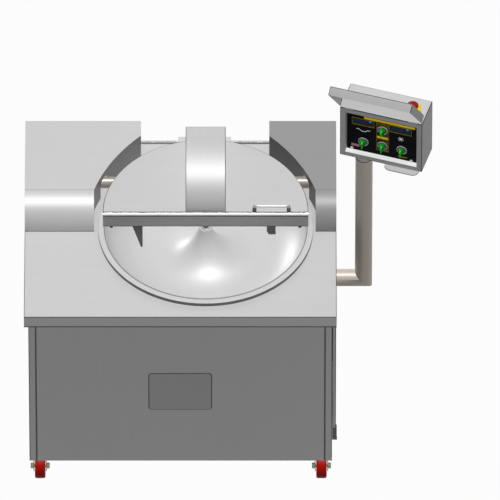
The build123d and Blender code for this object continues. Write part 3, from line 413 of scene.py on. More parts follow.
def finish_faces(piece, material, test):
    """Gives the faces that pass a test a finish of their own."""
    slots = piece.data.materials
    if slots.find(material.name) < 0:
        slots.append(material)
    for face in piece.data.polygons:
        if test(face.center, face.normal):
            face.material_index = slots.find(material.name)
    return piece


def slice_along(piece, place, direction, **settings):
    """Cuts the skin along a plane."""
    pick(piece, "VERT", lambda point: True)
    bpy.ops.mesh.bisect(plane_co=place, plane_no=direction, **settings)
    hold(piece)


def band(piece, place, direction, test):
    """Cuts the skin along a plane and gives the faces that pass a test the near-black edge colour as painted
    shade.
    """
    slice_along(piece, place, direction)
    finish_faces(piece, edge_steel, test)


def open_side(piece, test):
    """Deletes the faces that pass a test."""
    pick(piece, "FACE", test)
    bpy.ops.mesh.delete(type="FACE")
    hold(piece)


def apply(piece, kind, **settings):
    """Adds a modifier and applies it."""
    hold(piece)
    modifier = piece.modifiers.new(kind.lower(), kind)
    for key, value in settings.items():
        setattr(modifier, key, value)
    bpy.ops.object.modifier_apply(modifier=modifier.name)
    return piece


def clean(piece, dissolve=False):
    """Merges doubles and turns the faces outwards."""
    hold(piece)
    bpy.ops.object.mode_set(mode="EDIT")
    bpy.ops.mesh.select_all(action="SELECT")
    bpy.ops.mesh.remove_doubles(threshold=0.00002)
    if dissolve:
        bpy.ops.mesh.dissolve_limited(angle_limit=math.radians(0.5))
    bpy.ops.mesh.normals_make_consistent(inside=False)
    hold(piece)
    return piece


def sheet_metal(piece, thickness):
    """Gives an open skin its thickness, inwards."""
    clean(piece)
    return apply(piece, "SOLIDIFY", thickness=thickness, offset=-1, use_even_offset=True)


def soften(piece, width=0.0006, steps=2, angle=32, slot=-1):
    """Rounds the sharp edges a little and smooths the curved faces."""
    if width:
        apply(
            piece,
            "BEVEL",
            width=width,
            segments=steps,
            limit_method="ANGLE",
            angle_limit=math.radians(angle),
            material=slot,
            use_clamp_overlap=True,
        )
    hold(piece)
    bpy.ops.object.shade_smooth_by_angle(angle=math.radians(angle))
    return apply(piece, "WEIGHTED_NORMAL", keep_sharp=True)


def cut(piece, *cutters):
    """Takes the cutters out of the piece."""
    for cutter in cutters:
        apply(piece, "BOOLEAN", operation="DIFFERENCE", object=cutter, solver="EXACT")
        bpy.data.objects.remove(cutter)
    return piece


def join(name, pieces):
    """Makes one piece of several."""
    hold(pieces[0])
    for piece in pieces[1:]:
        piece.select_set(True)
    bpy.ops.object.join()
    pieces[0].name = name
    return pieces[0]


def copied(piece, name):
    """Copy with its own mesh."""
    twin = piece.copy()
    twin.data = piece.data.copy()
    twin.name = name
    bpy.context.scene.collection.objects.link(twin)
    return settle(twin)


def moved(piece, matrix):
    """Puts a piece that was made in its own frame into place."""
    piece.matrix_world = matrix
    return settle(piece)


AXES = {"X": (Vector((1, 0, 0)), (0, math.pi / 2, 0), (1, 0, 0)), "Z": (UP, (0, 0, 0), (0, 0, 1))}


def turned(name, centre, axis, profile, sides=96):
    """Lathe work: a ring that is extruded and sized along a profile of (radius, way along the axis)."""
    direction, lean, along = AXES[axis]
    hold(None)
    radius, height = max(profile[0][0], 0.001), profile[0][1]
    bpy.ops.mesh.primitive_circle_add(
        vertices=sides, radius=radius * MM, location=Vector(centre) + direction * height * MM, rotation=lean
    )
    piece = added(name)
    bpy.ops.object.mode_set(mode="EDIT")
    bpy.ops.mesh.select_all(action="SELECT")
    for next_radius, next_height in profile[1:]:
        step = direction * (next_height - height) * MM
        bpy.ops.mesh.extrude_region_move(TRANSFORM_OT_translate={"value": step})
        size = max(next_radius, 0.001) / radius
        if abs(size - 1) > 1e-6:
            bpy.ops.transform.resize(
                value=[1 if a else size for a in along],
                center_override=Vector(centre) + direction * next_height * MM,
            )
        radius, height = max(next_radius, 0.001), next_height
    return clean(piece)


def arc_profile(centre_r, centre_z, radius, first, last, steps):
    """Points of an arc in a profile, with its angles from straight down in degrees."""
    points = []
    for i in range(steps + 1):
        turn = math.radians(first + (last - first) * i / steps)
        points.append((centre_r + radius * math.sin(turn), centre_z - radius * math.cos(turn)))
    return points


def dress(piece, material, body, replaced=()):
    """Gives a piece its material and joins it to the frame."""
    slots = piece.data.materials
    slots[0] = material
    used = max(face.material_index for face in piece.data.polygons)
    while len(slots) > used + 1:
        slots.pop()
    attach(piece, body)
    if replaced:
        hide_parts(*replaced)
    return piece


BODIES = {n: b for b, members in frame["record"]["behaviour"]["bodies"].items() for n in members}


def dress_node(piece, material, node):
    """Joins a piece that stands for one CAD node to the frame."""
    return dress(piece, material, BODIES[node], [node])


def softened(node, material, width=0.0006, steps=2, slot=-1):
    """Copy of a CAD node with its edges rounded."""
    source = frame["nodes"][node]
    piece = source.copy()
    piece.data = source.data.copy()
    piece.parent = None
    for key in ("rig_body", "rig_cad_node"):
        if key in piece:
            del piece[key]
    piece.name = node + "_skin"
    bpy.context.scene.collection.objects.link(piece)
    piece.data.materials.append(edge_steel)
    clean(piece, dissolve=True)
    soften(piece, width, steps, slot=slot)
    return dress_node(piece, material, node)


# ---- Worktop ----

worktop = block("worktop_sheet", table_low, table_high)
# Painted shade: the rounded top edges take the near-black edge colour.
bevel_edges(worktop, lambda a, b: a.z > top - MM and b.z > top - MM, 2.2 * MM, slot=1)
open_side(worktop, lambda middle, normal: normal.z < -0.9)
sheet_metal(worktop, 3 * MM)
hole_radius = 357.5
# Painted shadow: a dark strip along the foot of the front lip.
lip_line = table_low.z + 5 * MM
band(worktop, (0, 0, lip_line), UP, lambda middle, normal: middle.z < lip_line and abs(normal.z) < 0.5)
cut(worktop, rod("hole", at_bowl(0, 0, -20), at_bowl(0, 0, 20), hole_radius * MM, 192))
slot_low, slot_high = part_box("knife_drive_belt")
slot_half, slot_margin = 0.073, 0.02
slot_start = (slot_low.x - slot_margin, shaft_y - slot_half, top - slot_margin)
slot_end = (slot_high.x + slot_margin, shaft_y + slot_half, top + slot_margin)
cut(worktop, block("slot", slot_start, slot_end))
collar = turned(
    "collar",
    at_bowl(0, 0, 0),
    "Z",
    [
        (hole_radius, -0.2), (hole_radius - 2.5, -2.5), (hole_radius - 2.5, -24),
        (hole_radius + 0.2, -24), (hole_radius + 0.2, -2.9),
    ],
    192,
)
soften(worktop, 0)
join("worktop_sheet", [worktop, collar])
soften(worktop, 0)
dress_node(worktop, sheet_steel, "worktop")

# ---- Housings ----

housing_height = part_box("left_housing")[1].z - top
cut_forward = 91


def sleeve_notch():
    """Cutter for the way of the shaft sleeves."""
    inner_left, inner_right = left + 0.03, right - 0.03
    hole = rod("notch", (inner_left, shaft_y, shaft_z), (inner_right, shaft_y, shaft_z), 24 * MM)
    slot = block(
        "notch_slot", (inner_left, shaft_y - 0.024, top - 0.01), (inner_right, shaft_y + 0.024, shaft_z)
    )
    return hole, slot


def housing(name, node, inward, rim_gap, cut_offset, wall_shade):
    """Folded housing with a rolled front and a concave side round the bowl."""
    low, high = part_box(node)
    body = block(name, low, high)
    bevel_edges(
        body,
        lambda a, b: max(a.y, b.y) < low.y + MM and min(a.z, b.z) > high.z - MM,
        housing_height - 0.00001,
        28,
    )
    clean(body)
    roll_end = bowl_x - inward * (rim_radius + rim_gap) * MM
    arc_y = low.y + housing_height
    cut_x, cut_y = bowl_x + inward * cut_offset * MM, bowl_y - cut_forward * MM
    cut_radius = math.hypot(roll_end - cut_x, arc_y - cut_y)
    ends = sorted((roll_end, roll_end + inward * 0.4))
    end_cut = block("end_cut", (ends[0], low.y - 0.1, top - 0.1), (ends[1], arc_y, high.z + 0.1))
    round_cut = rod("round_cut", (cut_x, cut_y, top - 0.1), (cut_x, cut_y, high.z + 0.1), cut_radius, 320)
    slice_along(round_cut, (0, arc_y - 0.0002, 0), (0, 1, 0), use_fill=True, clear_inner=True)
    cut(body, end_cut, round_cut)
    clean(body, dissolve=True)
    open_side(body, lambda middle, normal: normal.z < -0.9)
    foot, fold = top + 2.8 * MM, arc_y + 1.2 * MM
    # Painted shade: the concave wall faces that look towards the bowl get the darker wall colour.
    finish_faces(body, wall_shade, lambda middle, normal: normal.x * inward > 0.15 and abs(normal.z) < 0.2)
    # Painted shade: the rounded edges, a strip along the foot on the worktop and a strip beside the fold take
    # the near-black edge colour.
    soften(body, 1.8 * MM, 2, 50, slot=1)
    band(body, (0, 0, foot), UP, lambda middle, normal: middle.z < foot)
    band(body, (0, fold, 0), (0, 1, 0), lambda middle, normal: arc_y < middle.y < fold and normal.z > 0.9)
    sheet_metal(body, 2 * MM)
    cut(body, *sleeve_notch())
    hold(body)
    bpy.ops.mesh.customdata_custom_splitnormals_clear()
    bpy.ops.object.shade_smooth_by_angle(angle=math.radians(20))
    return body


left_cover = housing("left_cover", "left_housing", 1, 14, 228, wall_shade_steel)
dress_node(left_cover, roll_steel, "left_housing")
right_cover = housing("right_cover", "right_housing", -1, 8, 233, dark_wall_shade_steel)
dress_node(right_cover, dark_roll_steel, "right_housing")

# ---- Bowl with its hub ----

trough, wall = 170, 4
centre_r, offset_r, lift = 188, 184, 55
rim_low, rim_top, hub_top = 1.5, 16.5, 17.5
groove_in, groove_out = 354.8, 357
inner_end = math.degrees(math.acos((lift - rim_top - 3) / trough))
inner_hub = -math.degrees(math.acos((lift - hub_top) / trough))
outer_end = math.degrees(math.acos((lift - rim_low) / (trough + wall)))
outer_hub = -math.degrees(math.asin((centre_r - 57) / (trough + wall)))
inner = arc_profile(centre_r, lift, trough, inner_hub, inner_end, 44)
outer = arc_profile(centre_r, lift, trough + wall, outer_end, outer_hub, 30)
bowl_profile = [
    (8.05, hub_top),
    *inner,
    (inner[-1][0] + 0.9, rim_top - 0.6),
    (inner[-1][0] + 2, rim_top),
    (groove_in, rim_top),
    (355.3, rim_top - 1.2),
    (356.5, rim_top - 1.2),
    (groove_out, rim_top),
    (375.4, rim_top),
    (376.6, rim_top - 0.4),
    (rim_radius, rim_top - 1.6),
    (rim_radius, rim_low + 0.6),
    (376.4, rim_low),
    *outer,
    (57, -125),
    (15.05, -125),
    (15.05, -6.5),
    (8.05, -6.5),
    (8.05, hub_top),
]
bowl = turned("spun_bowl", at_bowl(0, 0, 0), "Z", bowl_profile, 192)
soften(bowl, 0, angle=40)


def on_rim_band(middle, normal):
    """The rim's outer side and the groove in its top, which get painted shade."""
    way = math.hypot(middle.x - bowl_x, middle.y - bowl_y) / MM
    in_groove = groove_in < way < groove_out and middle.z > top
    return in_groove or (way > rim_radius - 2.5 and abs(normal.z) < 0.6)


# Painted shade on the rim's outer side and in its groove.
finish_faces(bowl, rim_shade_steel, on_rim_band)
dress_node(bowl, bowl_steel, "bowl")

washer = turned(
    "hub_washer",
    at_bowl(0, 0, hub_top),
    "Z",
    [(8.1, 0), (17.6, 0), (18.2, 0.6), (18.2, 2.2), (17.2, 3), (8.1, 3), (8.1, 0)],
    64,
)
hub_nut = rod("hub_nut", at_bowl(0, 0, hub_top + 3), at_bowl(0, 0, hub_top + 11), 10 * MM, 6)
dome = turned("stud_end", at_bowl(0, 0, hub_top + 10), "Z", [(7.9, 0), (7.9, 0.6), (6.8, 1.6), (0, 1.8)], 48)
lower_spindle = turned(
    "spindle",
    at_bowl(0, 0, 0),
    "Z",
    [
        (0, -6.6), (14, -6.6), (15, -7.6), (15, -124.9), (51, -124.9), (52, -125.9),
        (52, -136), (51, -137), (15, -137), (15, -304), (14, -305), (0, -305),
    ],
    64,
)
# Painted shade: the upright sides of the washer and nut take the near-black edge colour.
for part in (washer, hub_nut):
    finish_faces(part, edge_steel, lambda middle, normal: abs(normal.z) < 0.5)
hub = join("hub_and_spindle", [soften(p, 0.0005, 2, 28) for p in (washer, hub_nut, dome, lower_spindle)])
dress_node(hub, bar_steel, "bowl_spindle")

# ---- Lid, hood and what they carry ----

lid_low, lid_high, lid_front, lid_radius = 32, 93, -11.5, 360
lid = rod("lid_cover", at_bowl(0, 0, lid_low), at_bowl(0, 0, lid_high), lid_radius * MM, 192)
front_y = bowl_y + lid_front * MM
top_z = top + lid_high * MM
slice_along(lid, (0, front_y, 0), (0, 1, 0), use_fill=True, clear_inner=True)
# Partly painted highlight: the front bend takes the paler, glossier bend steel.
bevel_edges(
    lid,
    lambda a, b: max(a.y, b.y) < front_y + 0.1 * MM and min(a.z, b.z) > top_z - 0.1 * MM,
    9.5 * MM,
    6,
    slot=2,
)
# Painted shade: the back arc's rounded edge takes the near-black edge colour.
bevel_edges(
    lid,
    lambda a, b: min(a.z, b.z) > top_z - 0.1 * MM and min(a.y, b.y) > front_y + 9 * MM
    and all(abs((p - at_bowl(0, 0, lid_high)).length - lid_radius * MM) < 0.3 * MM for p in (a, b)),
    2.4 * MM,
    2,
    slot=1,
)
open_side(lid, lambda middle, normal: normal.z < -0.9)
sheet_metal(lid, 2 * MM)
lid_hole = rod("notch", at_bowl(-400, offset_r, lift), at_bowl(400, offset_r, lift), 25.5 * MM)
lid_slot = block("notch_slot", at_bowl(-400, offset_r - 25.5, 20), at_bowl(400, offset_r + 25.5, lift))
lid_line, fold = top + (lid_low + 2.8) * MM, front_y + 9.5 * MM
under_bend = top_z - 12.4 * MM
# Painted shade: the front-facing flange faces get the darker flange colour.
finish_faces(lid, flange_shade_steel, lambda middle, normal: normal.y < -0.97)
# Painted shade: dark strips below the front bend, along the lid's foot and beside the fold.
band(lid, (0, 0, under_bend), UP, lambda middle, normal: normal.y < -0.97 and middle.z > under_bend)
band(lid, (0, 0, lid_line), UP, lambda middle, normal: middle.z < lid_line and abs(normal.z) < 0.5)
band(lid, (0, fold, 0), (0, 1, 0), lambda middle, normal: False)
band(
    lid,
    (0, fold + 1.6 * MM, 0),
    (0, 1, 0),
    lambda middle, normal: fold < middle.y < fold + 1.6 * MM and normal.z > 0.9,
)
cut(lid, lid_hole, lid_slot, block("hood_way", at_bowl(-62, 16, 80), at_bowl(62, 344, 100)))
soften(lid, 0, angle=30)
dress_node(lid, lid_steel, "lid_shell")

hood_half, hood_top, hood_end, hood_foot = 70, 231, 284, 352
arch_back, arch_rise, arch_reach = 222, 143, 221.5
arch_base = hood_top - arch_rise
hood = rod(
    "knife_hood_cover",
    at_bowl(-hood_half, arch_back, arch_base),
    at_bowl(hood_half, arch_back, arch_base),
    arch_rise * MM,
    160,
)
hood_top_z = top + hood_top * MM
arch_y = bowl_y + arch_back * MM
pick(hood, "VERT", lambda place: True)
bpy.ops.transform.resize(
    value=(1, arch_reach / arch_rise, 1), center_override=at_bowl(0, arch_back, arch_base)
)
hold(hood)
slice_along(hood, (0, arch_y, 0), (0, 1, 0), use_fill=True, clear_outer=True)
slice_along(hood, (0, 0, top_z), UP, use_fill=True, clear_inner=True)
pick(hood, "FACE", lambda middle, normal: normal.y > 0.9)
bpy.ops.mesh.extrude_region_move(TRANSFORM_OT_translate={"value": (0, (hood_end - arch_back) * MM, 0)})
bpy.ops.mesh.extrude_region_move(TRANSFORM_OT_translate={"value": (0, (hood_foot - hood_end) * MM, 0)})
hold(hood)
foot_y = bowl_y + hood_foot * MM
pick(hood, "VERT", lambda place: place.y > foot_y - MM and place.z > top_z + MM)
bpy.ops.transform.translate(value=(0, 0, top_z - hood_top_z + 0.5 * MM))
hold(hood)
open_side(hood, lambda middle, normal: normal.z < -0.9)
clean(hood)
# Painted shade: the rounded edges take the near-black edge colour.
soften(hood, 4.2 * MM, 3, 40, slot=1)
sheet_metal(hood, 2 * MM)
soften(hood, 0, angle=30)
dress_node(hood, hood_steel, "knife_hood")

hinge_low, hinge_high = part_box("lid_hinge_bar")
hinge_y, hinge_z = (hinge_low.y + hinge_high.y) / 2, (hinge_low.z + hinge_high.z) / 2
bar_length = (hinge_high.x - hinge_low.x) / MM
hinge_bar = turned(
    "hinge_bar",
    (hinge_low.x, hinge_y, hinge_z),
    "X",
    [(0, 0), (6, 0), (6, bar_length), (0, bar_length)],
    48,
)
dress_node(soften(hinge_bar, 0, angle=30), handle_steel, "lid_hinge_bar")


def bent_bar(name, start, radius, runs):
    """Round bar drawn upwards from its foot: runs of (length, direction) and (turn, centre, axis)."""
    hold(None)
    bpy.ops.mesh.primitive_circle_add(vertices=32, radius=radius, location=start, fill_type="NGON")
    bar = added(name)
    bpy.ops.object.mode_set(mode="EDIT")
    bpy.ops.mesh.select_all(action="SELECT")
    for run in runs:
        if len(run) == 2:
            length, direction = run
            bpy.ops.mesh.extrude_region_move(
                TRANSFORM_OT_translate={"value": Vector(direction).normalized() * length}
            )
        else:
            turn, centre, axis = run
            bpy.ops.mesh.spin(steps=12, angle=-math.radians(turn), center=centre, axis=axis)
    return clean(bar)


handle_y = bowl_y + (lid_front + 15) * MM
foot_left, foot_right = 171, 291
handle_z, bend, bow = 131, 9, 14
lean = math.radians(40)
grip_length = foot_right - foot_left - 2 * (bend * math.cos(lean) + bow * math.sin(lean))
grip_start = Vector((math.cos(lean), -math.sin(lean), 0))
grip_end = Vector((math.cos(lean), math.sin(lean), 0))
foot_top = Vector((bowl_x + foot_left * MM, handle_y, top + (handle_z - 5 - bend) * MM))
bend_centre = foot_top + grip_start * bend * MM
bow_start = bend_centre + UP * bend * MM
bow_centre = bow_start + Vector((math.sin(lean), math.cos(lean), 0)) * bow * MM
second_centre = bow_centre + Vector((grip_length * MM, 0, 0))
last_centre = foot_top + Vector(((foot_right - foot_left) * MM, 0, 0)) - grip_end * bend * MM
handle = bent_bar(
    "handle_bar",
    (foot_top.x, handle_y, top_z + 4 * MM),
    5 * MM,
    [
        (foot_top.z - top_z - 4 * MM, UP),
        (90, bend_centre, UP.cross(grip_start)),
        (math.degrees(lean), bow_centre, UP),
        (grip_length * MM, (1, 0, 0)),
        (math.degrees(lean), second_centre, UP),
        (90, last_centre, grip_end.cross(-UP)),
        (foot_top.z - top_z - 4 * MM, -UP),
    ],
)
feet = [
    turned(
        "foot",
        (bowl_x + x * MM, handle_y, top_z),
        "Z",
        [(0, 0), (6.6, 0), (7.4, 0.8), (7.4, 12), (6.6, 16), (4.9, 20), (0, 20)],
        40,
    )
    for x in (foot_left, foot_right)
]
# Painted shade: the feet take the darker foot steel.
for foot in feet:
    finish_faces(foot, foot_shade_steel, lambda middle, normal: True)
handle = join("handle", [soften(part, 0, angle=35) for part in [handle, *feet]])
dress_node(handle, bar_steel, "lid_handle")

# Painted shade on the knuckles' rounded edges.
softened("lid_knuckles", bar_steel, 2 * MM, slot=1)
plough = block("plough_blade", at_bowl(-256, -9.5, -72), at_bowl(-221, -6.5, 66))
slice_along(plough, at_bowl(0, 0, 28), UP)
pick(plough, "VERT", lambda place: place.z < top - 70 * MM and place.x < bowl_x - 250 * MM)
bpy.ops.transform.translate(value=(29 * MM, 0, 0))
hold(plough)
bevel_edges(plough, lambda a, b: max(a.z, b.z) < top - 70 * MM and abs(a.y - b.y) > 2 * MM, 2 * MM, 3)
dress_node(soften(plough, 0.4 * MM), blade_steel, "plough")
scraper = block("scraper_blade", at_bowl(214, -9.5, -10), at_bowl(245, -6.5, 66))
slice_along(scraper, at_bowl(0, 0, 5), UP)
pick(scraper, "VERT", lambda place: place.z < top - 9 * MM and place.x < bowl_x + 0.22)
bpy.ops.transform.translate(value=(7 * MM, 0, 0))
hold(scraper)
dress_node(soften(scraper, 0.4 * MM), blade_steel, "bowl_scraper")
softened("lid_buffers", buffer_rubber, 1 * MM)

# ---- Knife shaft, sleeves and knives ----

sleeves = []
for first, last in ((152, 589), (679, 1016)):
    length = last - first
    sleeve = turned(
        "sleeve",
        (left + first * MM, shaft_y, shaft_z),
        "X",
        [(17.05, 0), (20.4, 0), (21, 0.6), (21, length - 0.6), (20.4, length), (17.05, length), (17.05, 0)],
        72,
    )
    sleeves.append(soften(sleeve, 0, angle=40))
dress_node(join("sleeves", sleeves), sleeve_steel, "shaft_sleeves")

shaft_start = shaft_low.x
shaft_length = (shaft_high.x - shaft_low.x) / MM
shaft_points = [v.co for v in frame["nodes"]["knife_shaft"].data.vertices]
thick = [p.x for p in shaft_points if math.hypot(p.y - shaft_y, p.z - shaft_z) > 0.03]
flange_span = sorted((x - shaft_start) / MM for x in thick if (x - shaft_start) / MM > 100)
shaft = turned(
    "shaft",
    (shaft_start, shaft_y, shaft_z),
    "X",
    [
        (0, 0), (14, 0), (15, 1), (15, 8), (33.4, 8), (34, 8.6), (34, 47.4), (33.4, 48), (15, 48),
        (15, flange_span[0]), (33.2, flange_span[0]), (34, flange_span[0] + 0.8),
        (34, flange_span[-1] - 0.8), (33.2, flange_span[-1]), (15, flange_span[-1]),
        (15, shaft_length - 1), (14, shaft_length), (0, shaft_length),
    ],
    72,
)
dress_node(soften(shaft, 0, angle=30), bar_steel, "knife_shaft")
softened("knife_head", knife_steel, 0.3 * MM, 1)

# ---- Cabinet, door and latch ----

# Painted shade: the rounded edges of the panels take the near-black edge colour.
for node in ("front_panel", "rear_panel", "left_side_panel", "right_side_panel"):
    softened(node, panel_steel, 0.7 * MM, slot=1)


seam = 2.8 * MM


def seam_lines(node, low_x, high_x):
    """Paints dark shade on the two upright edges of a front beside its seams."""
    panel = bpy.data.objects[node + "_skin"]
    for first, last in ((low_x - MM, low_x + seam), (high_x - seam, high_x + MM)):
        band(panel, (first, 0, 0), (1, 0, 0), lambda middle, normal: False)
        band(
            panel,
            (last, 0, 0),
            (1, 0, 0),
            lambda middle, normal: first < middle.x < last and normal.y < -0.9,
        )
    soften(panel, 0)


panel_low, panel_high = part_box("front_panel")
side_low, side_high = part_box("left_side_panel")[0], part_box("right_side_panel")[1]
seam_lines("front_panel", panel_low.x, panel_high.x)
seam_lines("left_side_panel", side_low.x, panel_low.x)
seam_lines("right_side_panel", panel_high.x, side_high.x)
# Painted shade on the cover plate's rounded edges.
softened("front_cover_plate", plate_steel, 0.8 * MM, slot=1)
plate_low, plate_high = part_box("front_cover_plate")
gasket = block(
    "plate_gasket",
    (plate_low.x - 2.4 * MM, plate_high.y - 1 * MM, plate_low.z - 2.4 * MM),
    (plate_high.x + 2.4 * MM, plate_high.y + 0.2 * MM, plate_high.z + 2.4 * MM),
)
bevel_edges(gasket, lambda a, b: abs(a.y - b.y) > MM, 12 * MM, 8)
dress(soften(gasket, 0.3 * MM), buffer_rubber, "machine")
# Painted shade on the door's rounded edges.
softened("side_door", panel_steel, 1.5 * MM, 3, slot=1)
door_low, door_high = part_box("side_door")
seam_lines("side_door", door_low.x, door_high.x)
softened("door_fittings", bar_steel, 0.4 * MM)
softened("door_latch", latch_steel, 0.5 * MM)
latch_low, latch_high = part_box("door_latch")
pivot = (latch_high.x, (latch_low.y + latch_high.y) / 2, latch_low.z + 8 * MM)
cap = turned("latch_cap", pivot, "X", [(0, -0.5), (7.2, -0.5), (7.2, 0.2), (6.4, 0.9), (0, 0.9)], 40)
dress(soften(cap, 0), paint("latch_beige", (196, 184, 168)), "door_latch")
screw = turned("latch_screw", pivot, "X", [(0, 0.7), (2.6, 0.7), (2.6, 1.2), (2.2, 1.5), (0, 1.5)], 24)
dress(soften(screw, 0), cast_paint, "door_latch")
latch_back = block(
    "latch_back",
    (side_high.x + 0.6 * MM, latch_low.y + 2 * MM, latch_low.z + 2.5 * MM),
    (latch_high.x - 1.2 * MM, latch_high.y - 2 * MM, latch_high.z - 2.5 * MM),
)
dress(soften(latch_back, 1.5 * MM, 3), latch_steel, "door_latch")

# ---- Control arm ----

arm_low, arm_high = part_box("control_arm")
pipe_r = 30.15 * MM
post_x = arm_high.x - pipe_r
arm_y = (arm_low.y + arm_high.y) / 2
arm_z = arm_low.z + 0.055
arm_start = arm_low.x + 8 * MM
level_pipe = rod("level_pipe", (arm_start, arm_y, arm_z), (post_x + 0.05, arm_y, arm_z), pipe_r, 96)
upright_pipe = rod("upright_pipe", (post_x, arm_y, arm_z - 0.05), (post_x, arm_y, arm_high.z), pipe_r, 96)
for pipe, side in ((level_pipe, "clear_outer"), (upright_pipe, "clear_inner")):
    slice_along(pipe, (post_x, arm_y, arm_z), (1, 0, 1), **{side: True})
open_side(level_pipe, lambda middle, normal: abs(normal.x) > 0.99)
open_side(upright_pipe, lambda middle, normal: abs(normal.z) > 0.99)
pipe = join("pipe", [level_pipe, upright_pipe])
sheet_metal(pipe, 3 * MM)
soften(pipe, 0, angle=35)
ring_z = arm_high.z - MM
# Painted shade: the pipe's top end under the neck takes the near-black edge colour.
finish_faces(pipe, edge_steel, lambda middle, normal: middle.z > ring_z and normal.z > 0.9)
flange = block("flange", (arm_low.x, arm_y - 0.055, arm_z - 0.055), (arm_start, arm_y + 0.055, arm_z + 0.055))
bevel_edges(flange, lambda a, b: abs(a.x - b.x) > 7 * MM, 10 * MM, 6)
weld = turned(
    "weld", (arm_start, arm_y, arm_z), "X", [(30, 0), (34, 0), (33.4, 2), (31.5, 3.6), (30.1, 4)], 72
)
arm = join("arm", [pipe, soften(flange, 0.8 * MM), soften(weld, 0, angle=60)])
dress_node(arm, pipe_steel, "control_arm")
softened("frame_bolts", bar_steel, 0.6 * MM)

# ---- Control box, in its own frame ----

box_turn = math.radians(17.5)
box_x = Vector((math.cos(box_turn), -math.sin(box_turn), 0))
box_y = Vector((math.sin(box_turn), math.cos(box_turn), 0))
box_base = arm_high.z + 51 * MM
box_left, box_right, box_front, box_back, box_tall = -70, 230, -62, 62, 232
window_left, window_right, window_low, window_high = -50, 210, 20, 212
fascia_y, fascia_root = -42, -41.9
hinge_line = 236.4
cover_hinges = ((-30, -1), (190, 1))


def frame_of(x_axis, y_axis, z_axis, place):
    matrix = Matrix((x_axis, y_axis, z_axis)).transposed().to_4x4()
    matrix.translation = place
    return matrix


box_frame = frame_of(box_x, box_y, UP, Vector((post_x, arm_y, box_base)))


def mm(*place):
    return Vector(place) * MM


box = block("box", mm(box_left, box_front, 0), mm(box_right, box_back, box_tall))
# Painted shade: the box's rounded edges take the near-black edge colour.
bevel_edges(box, lambda a, b: True, 3 * MM, 2, slot=1)
pick(box, "FACE", lambda middle, normal: normal.y < -0.99)
bpy.ops.mesh.inset(thickness=17 * MM)
bpy.ops.mesh.extrude_region_move(TRANSFORM_OT_translate={"value": mm(0, 23, 0)})
hold(box)
clean(box)
rim_y, sill_z = (box_front + 1) * MM, (window_low + 1) * MM
# Painted shade on the right side and the front, painted highlight on the window sill.
finish_faces(box, box_side_shade_steel, lambda middle, normal: normal.x > 0.95 and middle.x > 0.225)
finish_faces(box, box_front_shade_steel, lambda middle, normal: normal.y < -0.95 and middle.y < rim_y)
finish_faces(
    box,
    sill_highlight_steel,
    lambda middle, normal: normal.z > 0.95 and window_low * MM - MM < middle.z < sill_z,
)
pin_parts = []
for place, side in cover_hinges:
    first, last, end = place - 10, place + 10, place + side * 24
    pin_parts += [
        rod("knuckle", mm(first, box_front, hinge_line), mm(last, box_front, hinge_line), 4 * MM, 32),
        rod("pin", mm(place, box_front, hinge_line), mm(end, box_front, hinge_line), 1.5 * MM, 24),
        block("knuckle_foot", mm(first, box_front + 0.2, 231.8), mm(last, box_front + 8, hinge_line)),
    ]
neck = turned(
    "neck",
    mm(0, 0, -111),
    "Z",
    [(25.5, 0), (27.05, 1.5), (27.05, 106), (34, 106.4), (34, 111.2), (0, 111.2)],
    72,
)
box = join("box", [soften(part, 0, angle=35) for part in [box, neck, *pin_parts]])
dress_node(moved(box, box_frame), box_steel, "control_box")

fascia = block(
    "fascia",
    mm(window_left + 0.1, fascia_y, window_low + 0.1),
    mm(window_right - 0.1, fascia_y + 2.5, window_high - 0.1),
)
dress_node(moved(soften(fascia, 0.4 * MM), box_frame), fascia_black, "control_fascia")


def fascia_plate(name, x0, z0, x1, z1, material, proud=0.5, corner=0.0):
    """Thin plate on the fascia."""
    plate = block(name, mm(x0, fascia_y - proud, z0), mm(x1, fascia_root, z1))
    if corner:
        bevel_edges(plate, lambda a, b: abs(a.y - b.y) > 0.3 * MM, corner * MM, 4)
    return dress(moved(soften(plate, 0.15 * MM, 1), box_frame), material, "control_box")


def fascia_frame(name, x0, z0, x1, z1, line, material):
    """Thin frame on the fascia."""
    proud = 0.6
    plate = block(name, mm(x0, fascia_y - proud, z0), mm(x1, fascia_root, z1))
    pick(plate, "FACE", lambda middle, normal: normal.y < -0.99)
    bpy.ops.mesh.inset(thickness=line * MM)
    bpy.ops.mesh.extrude_region_move(TRANSFORM_OT_translate={"value": mm(0, proud, 0)})
    hold(plate)
    return dress(moved(soften(plate, 0.1 * MM, 1), box_frame), material, "control_box")


fascia_plate("fascia_strip", 12, 180, 198, 189, strip_yellow)
for side, x0 in (("left", -32), ("right", 104)):
    fascia_frame(f"display_frame_{side}", x0, 144, x0 + 82, 177, 1.8, trim_yellow)
    fascia_plate(f"display_{side}", x0 + 3, 147, x0 + 79, 174, display_dark, 0.4)
    fascia_plate(f"display_field_{side}", x0 + 7, 152, x0 + 52, 170, display_field, 0.6)
    fascia_plate(f"display_light_{side}", x0 + 62, 166, x0 + 71, 175, display_blue, 0.7, 2)
fascia_frame("knob_frame", 57, 42, 103, 174, 1.4, trim_yellow)
fascia_plate("label_middle", 60, 101, 100, 111, strip_yellow, 0.7)
fascia_plate("label_left", -34, 38, -4, 49, label_rose, 0.4)
fascia_plate("label_right", 136, 31, 170, 36, trim_yellow, 0.4)


def icon(name, middle, bars):
    """Sign of thin bars: (x, z, length, turn) from its middle."""
    parts = []
    for x, z, length, turn in bars:
        bar = block("bar", mm(-length / 2, fascia_y - 0.5, -0.9), mm(length / 2, fascia_root, 0.9))
        bar.rotation_euler = (0, math.radians(turn), 0)
        bar.location = mm(x, 0, z)
        parts.append(settle(bar))
    sign = join(name, parts)
    sign.location = mm(middle[0], 0, middle[1])
    return dress(moved(soften(settle(sign), 0.1 * MM, 1), box_frame), icon_white, "control_box")


